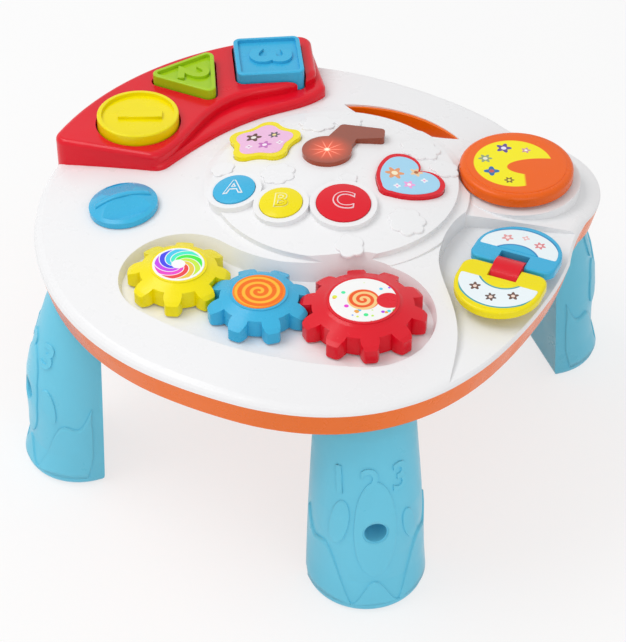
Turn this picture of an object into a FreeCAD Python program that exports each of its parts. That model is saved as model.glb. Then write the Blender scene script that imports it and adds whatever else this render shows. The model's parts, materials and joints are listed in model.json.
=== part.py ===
import FreeCAD, Part
import math
import os
from FreeCAD import Placement, Rotation, Vector

# Musical activity table for a small child. Millimetres, +Z up, origin on the floor under
# the middle of the table. The gears are at the front (-Y), the shape sorter at the left (-X).

doc = FreeCAD.newDocument("activity_table")
sheet = doc.addObject("Spreadsheet::Sheet", "Sizes")

SIZES = {
    # The frame's origin is under the middle of the table with its legs
    "origin_behind_deck": 5.5,
    # Plan of the deck: a rounded square whose four corners differ in fullness
    "table_width": 421.0,
    "table_depth": 417.0,
    "deck_middle_y": -2.0,
    "fullness_front_right": 2.6,
    "fullness_back_right": 2.28,
    "fullness_back_left": 2.6,
    "fullness_front_left": 1.9,
    # Heights of the deck
    "rim_height": 191.5,
    "crown_rise": 21.0,
    "crown_radius": 1500.0,
    "deck_edge_round": 8.0,
    "deck_wall": 2.5,
    # Lobe that carries the drum
    "lobe_x": 122.5,
    "lobe_y": 125.5,
    "lobe_radius": 70.0,
    "lobe_blend": 22.0,
    # Raised middle dome that carries the buttons
    "dome_x": 12.5,
    "dome_y": 32.5,
    "dome_radius": 97.0,
    "dome_rise": 36.5,
    "dome_curve_radius": 420.0,
    "dome_step_width": 9.0,
    "dome_step_drop": 4.5,
    # Lower shell
    "band_height": 21.0,
    "band_inset": 5.0,
    "tray_wall": 2.5,
    # Gears and their tray
    "tooth_pitch_radius": 4.3,
    "small_gear_teeth": 8,
    "large_gear_teeth": 10,
    "tooth_reach": 4.4,
    "tooth_root_gap": 0.7,
    "tooth_backlash": 0.6,
    "tooth_corner": 2.6,
    "small_gear_height": 18.5,
    "small_gear_side": 11.5,
    "small_label_plateau": 21.5,
    "large_gear_height": 20.5,
    "large_gear_side": 13.5,
    "large_label_plateau": 27.0,
    "blue_gear_x": 35.0,
    "blue_gear_y": -115.5,
    "yellow_gear_angle": 183.0,
    "red_gear_angle": 22.0,
    "gear_tray_rise": 6.0,
    "gear_tray_gap": 4.5,
    "gear_tray_draft": 6.0,
    "gear_tray_front_radius": 270.0,
    "gear_tray_waist_radius": 110.0,
    "gear_lift": 1.5,
    "axle_radius": 4.0,
    "axle_flange_radius": 7.5,
    "running_fit": 0.06,
    # Bay for the see-saw key
    "bay_rise": 3.5,
    "seesaw_x": 176.5,
    "seesaw_y": 10.5,
    "seesaw_turn": 7.0,
    "seesaw_length": 108.0,
    "seesaw_width": 67.0,
    "seesaw_plate": 6.5,
    "seesaw_slope": 3.0,
    "seesaw_gap": 1.5,
    "seesaw_plate_rise": 13.0,
    "seesaw_pin_drop": 7.0,
    "seesaw_pin_radius": 2.5,
    "bridge_width": 22.0,
    "bridge_radius": 15.5,
    "ear_gap": 1.0,
    "ear_thick": 4.0,
    # Hand slot
    "slot_x": 8.5,
    "slot_y": 146.5,
    "slot_turn": 3.6,
    "slot_length": 100.0,
    "slot_width": 24.0,
    "slot_lining": 2.5,
    # Push buttons
    "small_button_radius": 16.7,
    "large_button_radius": 21.0,
    "button_collar": 5.0,
    "button_collar_rise": 4.0,
    "button_proud": 3.0,
    "button_gap": 0.35,
    "button_travel": 2.5,
    "button_flange": 2.2,
    "button_flange_reach": 1.8,
    "button_skirt": 8.0,
    "picture_skirt": 9.4,
    "button_stem_radius": 5.0,
    "star_reach": 30.0,
    "star_valley": 24.0,
    "heart_size": 56.0,
    "picture_proud": 2.6,
    "note_head_radius": 19.8,
    "note_proud": 3.5,
    # Knob
    "knob_x": -117.5,
    "knob_y": -70.5,
    "knob_radius": 27.0,
    "knob_height": 13.0,
    "knob_grip_width": 4.0,
    "knob_shaft_radius": 3.0,
    # Drum
    "drum_x": 125.5,
    "drum_y": 123.5,
    "drum_radius": 45.2,
    "drum_height": 12.5,
    "drum_seat_rise": 4.5,
    "drum_travel": 3.0,
    "drum_stem_radius": 9.0,
    # Shape sorter
    "panel_rise": 30.5,
    "panel_ledge_rise": 22.0,
    "panel_corner": 11.0,
    "panel_edge_round": 4.5,
    "pocket_floor_rise": 17.5,
    "pocket_gap": 1.5,
    "block_proud": 8.5,
    "block_rim": 3.5,
    "block_dish": 3.0,
    "circle_block_radius": 33.0,
    "triangle_block_side": 66.0,
    "square_block_side": 56.0,
    "block_corner": 6.0,
    # Legs
    "stance_x": 6.5,
    "stance_y": 22.5,
    "stance_half_width": 132.0,
    "stance_half_depth": 156.0,
    "leg_wall": 3.0,
    "leg_foot_half_width": 45.0,
    "leg_top_half_width": 37.0,
    "leg_foot_inner": 200.0,
    "leg_splay": 8.0,
    "leg_foot_depth": 50.0,
    "leg_calf_depth": 49.5,
    "leg_calf_height": 75.0,
    "leg_top_depth": 26.0,
    "leg_back_right_inset": 5.0,
    "leg_back_left_inset": 10.0,
    "leg_socket_height": 77.0,
    "leg_socket_radius": 8.5,
    "leg_socket_depth": 20.0,
    "leg_socket_wall": 2.5,
    "leg_plug_length": 14.0,
    "leg_plug_gap": 0.4,
    # Inside
    "post_radius": 4.5,
    "screw_radius": 1.5,
    "screw_head_radius": 2.9,
    "cell_radius": 7.2,
    "cell_length": 50.5,
    "cell_pitch": 15.5,
    "battery_x": 5.0,
    "battery_y": 38.0,
    "door_gap": 0.4,
    "board_width": 128.0,
    "board_depth": 74.0,
    "board_thick": 1.6,
    "board_rise": 11.0,
    "speaker_x": -78.0,
    "speaker_y": 40.0,
    "speaker_radius": 25.0,
    "speaker_height": 13.0,
}

for number, (name, value) in enumerate(SIZES.items(), start=1):
    sheet.set(f"A{number}", name)
    sheet.set(f"B{number}", str(value))
    sheet.setAlias(f"B{number}", name)
doc.recompute()


def size(name):
    return float(getattr(sheet, name))


def count(name):
    return int(round(size(name)))


rim = size("rim_height")
wall = size("deck_wall")
crown = rim + size("crown_rise")
band_bottom = rim - size("band_height")
tray_top = band_bottom + size("tray_wall")
far = 400.0
UP = Vector(0, 0, 1)


# Small helpers for outlines and solids

def at_angle(centre, radius, degrees):
    turn = math.radians(degrees)
    return centre + Vector(radius * math.cos(turn), radius * math.sin(turn), 0)


def line(start, end):
    return Part.LineSegment(start, end).toShape()


def arc(start, middle, end):
    return Part.Arc(start, middle, end).toShape()


def at_height(shape, height):
    moved = shape.copy()
    moved.translate(Vector(0, 0, height))
    return moved


def prism(wire, low, high):
    return Part.Face(at_height(wire, low)).extrude(Vector(0, 0, high - low))


def cylinder(radius, low, high, x=0.0, y=0.0):
    return Part.makeCylinder(radius, high - low, Vector(x, y, low))


def box(width, depth, low, high, x=0.0, y=0.0):
    return Part.makeBox(width, depth, high - low, Vector(x - width / 2, y - depth / 2, low))


def rounded_polygon(points, radius):
    """Closed wire through the points with every corner rounded."""
    edges = []
    starts = []
    ends = []
    total = len(points)
    for index in range(total):
        before = points[index - 1]
        corner = points[index]
        after = points[(index + 1) % total]
        back = (before - corner).normalize()
        ahead = (after - corner).normalize()
        half = back.getAngle(ahead) / 2
        reach = radius / math.tan(half)
        middle = corner + (back + ahead).normalize() * (radius / math.sin(half) - radius)
        starts.append(corner + back * reach)
        ends.append(corner + ahead * reach)
        edges.append(arc(starts[-1], middle, ends[-1]))
    wires = []
    for index in range(total):
        wires.append(edges[index])
        wires.append(line(ends[index], starts[(index + 1) % total]))
    return Part.Wire(wires)


def circle_wire(radius, centre=Vector(0, 0, 0)):
    return Part.Wire(Part.makeCircle(radius, centre))


def revolve_profile(points):
    """Solid of revolution about Z from (radius, height) corners."""
    corners = [Vector(radius, 0, height) for radius, height in points]
    wire = Part.makePolygon(corners + corners[:1])
    return Part.Face(wire).revolve(Vector(0, 0, 0), UP, 360)


def union(shapes):
    return shapes[0].multiFuse(shapes[1:])


def node(name, shape, place=Placement()):
    """One named piece. The frame's origin lies a little behind the middle of the deck."""
    piece = doc.addObject("Part::Feature", name)
    piece.Label = name
    piece.Shape = shape
    origin = Placement(Vector(0, -size("origin_behind_deck"), 0), Rotation())
    piece.Placement = origin.multiply(place).multiply(shape.Placement)
    return piece


def primitive(kind, name, place, **formulas):
    """One named box or cylinder whose sizes follow the sheet."""
    piece = doc.addObject(kind, name)
    piece.Label = name
    for key, formula in formulas.items():
        piece.setExpression(key, formula)
    origin = Placement(Vector(0, -size("origin_behind_deck"), 0), Rotation())
    piece.Placement = origin.multiply(place)
    doc.recompute()
    return piece


# Surfaces of the deck

def deck_height(x, y):
    """Height of the plain deck: a shallow cap of a large sphere."""
    return crown - (x * x + y * y) / (2 * size("crown_radius"))


def deck_normal(x, y):
    return Vector(x, y, size("crown_radius")).normalize()


dome_middle = Vector(size("dome_x"), size("dome_y"), 0)
dome_top = rim + size("dome_rise")


def dome_normal(x, y):
    return Vector(x - dome_middle.x, y - dome_middle.y, size("dome_curve_radius")).normalize()


def dome_height(x, y):
    """Height of the raised middle dome, a cap of a smaller sphere."""
    offset = Vector(x, y, 0) - dome_middle
    return dome_top - offset.Length ** 2 / (2 * size("dome_curve_radius"))


def frame_on(x, y, height, normal, turn=0.0):
    """Placement with its local Z along the surface normal at a point."""
    spin = Rotation(UP, turn)
    tilt = Rotation(UP, normal)
    return Placement(Vector(x, y, height), tilt.multiply(spin))


def placed(shape, placement):
    moved = shape.copy()
    moved.Placement = placement.multiply(shape.Placement)
    return moved


# Plan outline of the table

def outline_point(degrees):
    """Point of a rounded square whose fullness changes from corner to corner."""
    turn = math.radians(degrees)
    across = math.cos(turn)
    deep = math.sin(turn)
    if across >= 0:
        fullness = size("fullness_back_right") if deep >= 0 else size("fullness_front_right")
    else:
        fullness = size("fullness_back_left") if deep >= 0 else size("fullness_front_left")
    x = size("table_width") / 2 * math.copysign(abs(across) ** (2 / fullness), across)
    y = size("table_depth") / 2 * math.copysign(abs(deep) ** (2 / fullness), deep)
    return Vector(x, y + size("deck_middle_y"), 0)


def plan_points(total):
    """Points spread along the table's plan with the drum lobe blended onto it."""
    spline = Part.BSplineCurve()
    steps = 24
    corners = [outline_point((step + 0.5) * 360 / steps) for step in range(steps)]
    spline.interpolate(Points=corners, PeriodicFlag=True)
    plain = Part.Face(Part.Wire(spline.toShape())).extrude(Vector(0, 0, 10))
    lobe = cylinder(size("lobe_radius"), 0, 10, size("lobe_x"), size("lobe_y"))
    both = plain.fuse(lobe).removeSplitter()
    lobe_middle = Vector(size("lobe_x"), size("lobe_y"), 0)
    joins = []
    for edge in both.Edges:
        middle = edge.BoundBox.Center
        upright = edge.BoundBox.ZLength > 9.9 and edge.BoundBox.DiagonalLength < 10.1
        if upright and abs((Vector(middle.x, middle.y, 0) - lobe_middle).Length - size("lobe_radius")) < 0.1:
            joins.append(edge)
    both = both.makeFillet(size("lobe_blend"), joins).removeSplitter()
    floor = [face for face in both.Faces if abs(face.CenterOfMass.z) < 0.001][0]
    points = floor.OuterWire.discretize(Number=total + 1)[:-1]
    # The curve starts at the far left, away from every cut in the deck
    start = min(range(total), key=lambda index: points[index].x)
    return points[start:] + points[:start]


rim_points = plan_points(48)


def plan_curve(inset):
    """Points of the table's outline drawn in square to itself by an inset."""
    total = len(rim_points)
    points = []
    for index in range(total):
        ahead = rim_points[(index + 1) % total] - rim_points[index - 1]
        square = Vector(-ahead.y, ahead.x, 0).normalize()
        if square.dot(rim_points[index]) > 0:
            square = square * -1
        points.append(rim_points[index] + square * inset)
    return points


def closed_curve(points):
    """Closed wire of arcs, each through three neighbouring points."""
    points = points + points[:1]
    return Part.Wire([arc(*points[index:index + 3]) for index in range(0, len(points) - 2, 2)])


def plan_wire(inset):
    return closed_curve(plan_curve(inset))


def crown_sphere(drop):
    radius = size("crown_radius") - drop
    return Part.makeSphere(radius, Vector(0, 0, crown - drop - radius))


def dome_sphere(drop):
    radius = size("dome_curve_radius") - drop
    return Part.makeSphere(radius, Vector(dome_middle.x, dome_middle.y, dome_top - drop - radius))


# Share of the edge rounding drawn in, and share of the deck height reached, from rim to crown
EDGE_CURVE = (
    (0.0, 0.0),
    (0.12, 0.47),
    (0.33, 0.74),
    (0.59, 0.91),
    (0.86, 0.99),
    (1.0, 1.1),
)


def rounded_deck(inset, drop, base):
    """Solid deck block: plan outline under the crown, with its top edge rounded."""
    sections = []
    if base < rim:
        sections.append(at_height(plan_wire(inset), base))
    for drawn, share in EDGE_CURVE:
        points = []
        for point in plan_curve(inset + drawn * size("deck_edge_round")):
            top = deck_height(point.x, point.y) - drop
            points.append(Vector(point.x, point.y, rim + share * (top - rim)))
        sections.append(closed_curve(points))
    sections.append(at_height(plan_wire(inset + 1.05 * size("deck_edge_round")), crown + 8))
    return Part.makeLoft(sections, True, True).common(crown_sphere(drop))


# Gear tray: a kidney of four tangent arcs round the outer gears

small_pitch = size("tooth_pitch_radius") * count("small_gear_teeth")
large_pitch = size("tooth_pitch_radius") * count("large_gear_teeth")
blue_middle = Vector(size("blue_gear_x"), size("blue_gear_y"), 0)
yellow_middle = at_angle(blue_middle, 2 * small_pitch, size("yellow_gear_angle"))
red_middle = at_angle(blue_middle, small_pitch + large_pitch, size("red_gear_angle"))
gear_floor = rim + size("gear_tray_rise")
gear_bottom = gear_floor + size("gear_lift")


def circle_crossing(first, first_radius, second, second_radius):
    """The crossing of two circles that lies further back (+Y)."""
    span = second - first
    length = span.Length
    along = (first_radius ** 2 - second_radius ** 2 + length ** 2) / (2 * length)
    rise = math.sqrt(first_radius ** 2 - along ** 2)
    direction = Vector(span).normalize()
    side = Vector(-direction.y, direction.x, 0)
    if side.y < 0:
        side = side * -1
    return first + direction * along + side * rise


def kidney_wire(grow):
    left = yellow_middle
    right = red_middle
    left_radius = small_pitch + size("tooth_reach") + size("gear_tray_gap") + grow
    right_radius = large_pitch + size("tooth_reach") + size("gear_tray_gap") + grow
    front_radius = size("gear_tray_front_radius") + grow
    waist_radius = size("gear_tray_waist_radius") - grow
    front = circle_crossing(left, front_radius - left_radius, right, front_radius - right_radius)
    waist = circle_crossing(left, waist_radius + left_radius, right, waist_radius + right_radius)
    front_left = left + (left - front).normalize() * left_radius
    front_right = right + (right - front).normalize() * right_radius
    waist_left = left + (waist - left).normalize() * left_radius
    waist_right = right + (waist - right).normalize() * right_radius
    front_low = front + ((left + right) * 0.5 - front).normalize() * front_radius
    waist_low = waist + ((left + right) * 0.5 - waist).normalize() * waist_radius
    left_end = at_angle(left, left_radius, 180)
    right_end = at_angle(right, right_radius, 0)
    return Part.Wire([
        arc(front_left, front_low, front_right),
        arc(front_right, right_end, waist_right),
        arc(waist_right, waist_low, waist_left),
        arc(waist_left, left_end, front_left),
    ])


def kidney_pocket(grow, low):
    """Drafted pocket that opens upwards from a floor height."""
    depth = 30.0
    flare = size("gear_tray_draft") * depth / (crown - gear_floor)
    bottom = at_height(kidney_wire(grow), low)
    top = at_height(kidney_wire(grow + flare), low + depth)
    return Part.makeLoft([bottom, top], True, True)


# Bay for the see-saw: everything to the right of a soft line is lowered

bay_floor = rim + size("bay_rise")


def bay_prism(grow, low):
    inner = [
        Vector(115 - grow, 58 + grow, 0),
        Vector(115 - grow, 26, 0),
        Vector(124 - grow, -2, 0),
        Vector(151.5 - grow, -34.5, 0),
        Vector(172.5 - grow, -62, 0),
        Vector(187 - grow, -96, 0),
        Vector(196 - grow, -122, 0),
    ]
    side = Part.BSplineCurve()
    side.interpolate(inner)
    outer_front = Vector(290, -122, 0)
    outer_back = Vector(290, 140 + grow, 0)
    wire = Part.Wire([
        side.toShape(),
        line(inner[-1], outer_front),
        line(outer_front, outer_back),
        line(outer_back, inner[0]),
    ])
    return prism(wire, low, low + 60)


# Hand slot: a lens of two arcs

def slot_wire(grow):
    half = size("slot_length") / 2 + grow
    bulge = size("slot_width") / 2 + grow
    lens = Part.Wire([
        arc(Vector(-half, 0, 0), Vector(0, -bulge, 0), Vector(half, 0, 0)),
        arc(Vector(half, 0, 0), Vector(0, bulge, 0), Vector(-half, 0, 0)),
    ])
    lens.Placement = Placement(
        Vector(size("slot_x"), size("slot_y"), 0), Rotation(UP, size("slot_turn")))
    return lens


# Places of the things on the dome, each with the local Z square to the dome

def on_dome(x, y, turn=0.0):
    return frame_on(x, y, dome_height(x, y), dome_normal(x, y), turn)


button_places = {
    "button_a": on_dome(-42.8, -25.9),
    "button_b": on_dome(-0.8, -25.7),
    "button_c": on_dome(41.1, -3.5),
}
star_place = on_dome(-58.4, 41.4, 40.5)
heart_place = on_dome(64.3, 51.8, -15.5)
note_place = on_dome(-4.7, 49.2)
knob_place = frame_on(
    size("knob_x"), size("knob_y"), deck_height(size("knob_x"), size("knob_y")),
    deck_normal(size("knob_x"), size("knob_y")), 48)
drum_place = frame_on(
    size("drum_x"), size("drum_y"), deck_height(size("drum_x"), size("drum_y")), UP)


def button_radius(name):
    return size("large_button_radius") if name == "button_c" else size("small_button_radius")


def flange_span(skirt, room):
    """Lowest and highest local height that a button's flange reaches, with room round it."""
    lowest = -size(skirt) - size("button_travel") - room
    return lowest, -size(skirt) + size("button_flange") + room / 2


def star_wire(grow):
    """Soft five-pointed star: an arc round every tip and an arc in every valley."""
    origin = Vector(0, 0, 0)
    tip = size("star_reach") + grow
    valley = size("star_valley") + grow
    between = (tip + valley) / 2
    arcs = []
    for turn in range(0, 360, 72):
        start = at_angle(origin, between, turn - 18)
        end = at_angle(origin, between, turn + 18)
        arcs.append(arc(start, at_angle(origin, tip, turn), end))
        following = at_angle(origin, between, turn + 54)
        arcs.append(arc(end, at_angle(origin, valley, turn + 36), following))
    return Part.Wire(arcs)


def heart_wire(grow):
    """Full heart of five arcs: two lobes, two sides and a soft tip."""
    scale = (size("heart_size") / 2 + grow) / (size("heart_size") / 2)
    notch = Vector(0, 16, 0) * scale
    lobe = Vector(16, 24.2, 0) * scale
    shoulder = Vector(28.4, 7, 0) * scale
    flank = Vector(21, -10.5, 0) * scale
    foot = Vector(6, -23.5, 0) * scale
    tip = Vector(0, -26, 0) * scale

    def mirrored(point):
        return Vector(-point.x, point.y, 0)

    return Part.Wire([
        arc(notch, lobe, shoulder),
        arc(shoulder, flank, foot),
        arc(foot, tip, mirrored(foot)),
        arc(mirrored(foot), mirrored(flank), mirrored(shoulder)),
        arc(mirrored(shoulder), mirrored(lobe), notch),
    ])


def note_solid(grow, low, high):
    """Eighth note lying flat: round head, stem, and a flag to the right."""
    head_radius = size("note_head_radius") + grow
    head = cylinder(head_radius, low, high)
    stem = rounded_polygon([
        Vector(-9 - grow, 4, 0),
        Vector(15 + grow, 4, 0),
        Vector(12 + grow, 33 + grow, 0),
        Vector(-9 - grow, 36 + grow, 0),
    ], 3.0)
    flag = rounded_polygon([
        Vector(-9 - grow, 24 - grow, 0),
        Vector(11, 24 - grow, 0),
        Vector(31 + grow, 37 - grow, 0),
        Vector(25 + grow, 49 + grow, 0),
        Vector(-9 - grow, 38.5 + grow, 0),
    ], 4.0)
    return union([head, prism(stem, low, high), prism(flag, low, high)])


# Legs: D-shaped sections, flat inside, round outside, open at the top

stance = Vector(size("stance_x"), size("stance_y"), 0)
leg_angle = math.degrees(math.atan2(size("stance_half_depth"), size("stance_half_width")))

def leg_place(degrees, inset=0.0):
    """Where a leg stands: its own X points outwards from the middle of the stance."""
    return Placement(stance - at_angle(Vector(0, 0, 0), inset, degrees), Rotation(UP, degrees))


leg_places = {
    "leg_back_right": leg_place(leg_angle, size("leg_back_right_inset")),
    "leg_back_left": leg_place(180 - leg_angle, size("leg_back_left_inset")),
    "leg_front_left": leg_place(180 + leg_angle),
    "leg_front_right": leg_place(-leg_angle),
}


def leg_section(height, half_width, depth, inset=0.0):
    """D-shaped wire square to the leg, its flat side towards the table's middle."""
    inner = size("leg_foot_inner") - size("leg_splay") * height / band_bottom + inset
    outer = inner + depth - 2 * inset
    side = half_width - inset
    straight = 3.0
    back_left = Vector(inner, side, height)
    back_right = Vector(inner, -side, height)
    front_left = Vector(inner + straight, side, height)
    front_right = Vector(inner + straight, -side, height)
    return Part.Wire([
        line(back_left, back_right),
        line(back_right, front_right),
        arc(front_right, Vector(outer, 0, height), front_left),
        line(front_left, back_left),
    ])


# Height, half width and depth of the leg where its shape is set, from the foot up
LEG_STATIONS = (
    Vector(6, size("leg_foot_half_width"), size("leg_foot_depth") + 2.5),
    Vector(0.4 * size("leg_calf_height"), size("leg_foot_half_width") - 0.7, size("leg_calf_depth") - 1.5),
    Vector(size("leg_calf_height"), size("leg_foot_half_width") - 2.5, size("leg_calf_depth")),
    Vector(0.72 * band_bottom, 0.51 * (size("leg_foot_half_width") + size("leg_top_half_width")) - 1.8,
           (size("leg_calf_depth") + size("leg_top_depth")) / 2 + 4),
    Vector(band_bottom, size("leg_top_half_width"), size("leg_top_depth")),
)
# Height above the floor and draw-in of the rounding under the foot
FOOT_ROUNDING = ((0.0, 4.0), (1.2, 1.6), (3.2, 0.4))


def leg_loft(inset, low, high):
    """The leg as a solid of ruled bands, drawn in by an inset, with a rounded foot."""
    side = Part.BSplineCurve()
    side.interpolate(list(LEG_STATIONS))
    foot = LEG_STATIONS[0]
    sections = [leg_section(height, foot.y, foot.z, inset + draw) for height, draw in FOOT_ROUNDING]
    for station in side.discretize(Number=9):
        sections.append(leg_section(station.x, station.y, station.z, inset))
    body = Part.makeLoft(sections, True, True)
    return body.common(box(2 * far, 2 * far, low, high))


def make_leg():
    body = leg_loft(0, 0, band_bottom)
    hollow = leg_loft(size("leg_wall"), size("leg_wall"), band_bottom)
    outer = size("leg_foot_inner") - size("leg_splay") * size("leg_socket_height") / band_bottom
    mouth = outer + size("leg_calf_depth")
    radius = size("leg_socket_radius")
    base = Vector(mouth - size("leg_socket_depth"), 0, size("leg_socket_height"))
    bore = Part.makeCylinder(radius, far, base, Vector(1, 0, 0))
    cup_base = base - Vector(size("leg_socket_wall"), 0, 0)
    cup = Part.makeCylinder(radius + size("leg_socket_wall"), far, cup_base, Vector(1, 0, 0))
    cup = cup.common(leg_loft(0, 0, band_bottom))
    return body.cut(hollow).fuse(cup).cut(bore).removeSplitter()


def make_leg_plug():
    """Boss on the lower shell that fills the open top of a leg."""
    inset = size("leg_wall") + size("leg_plug_gap")
    solid = leg_loft(inset, band_bottom - size("leg_plug_length"), band_bottom)
    core = leg_loft(inset + 3.0, band_bottom - size("leg_plug_length") - 1, band_bottom)
    top = Part.Face(leg_section(band_bottom, size("leg_top_half_width"), size("leg_top_depth"), inset))
    return solid.cut(core).fuse(top.extrude(Vector(0, 0, tray_top - band_bottom)))


# Positions of the screws that join the two shells
post_places = [
    Vector(-60, -184, 0),
    Vector(62, -187, 0),
    Vector(192, -66, 0),
    Vector(99, 72, 0),
    Vector(-58, 172, 0),
    Vector(-156, -78, 0),
]


def screw_reach(place):
    """How far a case screw may rise above the rim without showing in the deck."""
    if place.x > 180:
        return size("bay_rise") - 1.5
    return deck_height(place.x, place.y) - rim - 3.0


board_low = rim + size("board_rise")
board_high = board_low + size("board_thick")
board_middle = Vector(size("dome_x") - 7, size("dome_y") + 4, 0)
# The board hangs from four posts between the buttons, beside the key mat
board_post_side = size("board_depth") / 2 - 3.3
board_posts = [
    Vector(-25, board_middle.y - board_post_side, 0),
    Vector(14, board_middle.y - board_post_side, 0),
    Vector(-27, board_middle.y + board_post_side, 0),
    Vector(33, board_middle.y + board_post_side, 0),
]


# See-saw key on a pin that lies across its length

seesaw_pin_height = bay_floor + size("seesaw_plate_rise") - size("seesaw_pin_drop")
seesaw_place = Placement(
    Vector(size("seesaw_x"), size("seesaw_y"), seesaw_pin_height), Rotation(UP, size("seesaw_turn")))
ear_offset = size("bridge_width") / 2 + size("ear_gap")
ear_thick = size("ear_thick")
ear_radius = size("seesaw_pin_radius") + 2.8
well_depth = 7.0


def seesaw_well(grow, low):
    """Small pit under the see-saw for its bridge and pin."""
    half_long = 21 + grow
    half_wide = ear_offset + ear_thick + 3 + grow
    wire = rounded_polygon([
        Vector(-half_wide, -half_long, 0),
        Vector(half_wide, -half_long, 0),
        Vector(half_wide, half_long, 0),
        Vector(-half_wide, half_long, 0),
    ], 4.0 + grow)
    wire.Placement = Placement(
        Vector(size("seesaw_x"), size("seesaw_y"), 0), Rotation(UP, size("seesaw_turn")))
    return prism(wire, low, low + 40)


# Shape sorter panel and its blocks

circle_middle = Vector(-161.5, 14.5, 0)
triangle_middle = Vector(-157.5, 87.5, 0)
square_middle = Vector(-116.5, 141.5, 0)
square_turn = 36.5
triangle_turn = -25.0
panel_top = rim + size("panel_rise")
pocket_floor = rim + size("pocket_floor_rise")
block_top = panel_top + size("block_proud")


def panel_outline(inner):
    """Closed wire of the panel: outer arc along the rim, then its inner edge through points."""
    front_outer = Vector(-208, -42, 0)
    back_outer = Vector(-110, 198, 0)
    points = [Vector(x, y, 0) for x, y in inner]
    inner_edge = Part.BSplineCurve()
    inner_edge.interpolate(points)
    return Part.Wire([
        arc(front_outer, Vector(-197, 86, 0), back_outer),
        line(back_outer, points[-1]),
        Part.Edge(inner_edge.toShape()),
        line(points[0], front_outer),
    ])


PANEL_FOOT_EDGE = ((-118, -17), (-112, 20), (-104, 54), (-88, 92), (-70, 122), (-64, 148))
PANEL_TOP_EDGE = ((-122, -18), (-119, 24), (-120, 62), (-111, 92), (-90, 118), (-76, 152))


def circle_shape(grow):
    return circle_wire(size("circle_block_radius") + grow, circle_middle)


def triangle_shape(grow):
    reach = size("triangle_block_side") / math.sqrt(3) + 2 * grow
    corners = [at_angle(triangle_middle, reach, triangle_turn + 120 * step) for step in range(3)]
    return rounded_polygon(corners, size("block_corner") + grow)


def square_shape(grow):
    half = size("square_block_side") / 2 + grow
    reach = half * math.sqrt(2)
    corners = [at_angle(square_middle, reach, square_turn + 45 + 90 * step) for step in range(4)]
    return rounded_polygon(corners, size("block_corner") + grow)


block_shapes = {
    "circle_block": circle_shape,
    "triangle_block": triangle_shape,
    "square_block": square_shape,
}


# Upper shell

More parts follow.
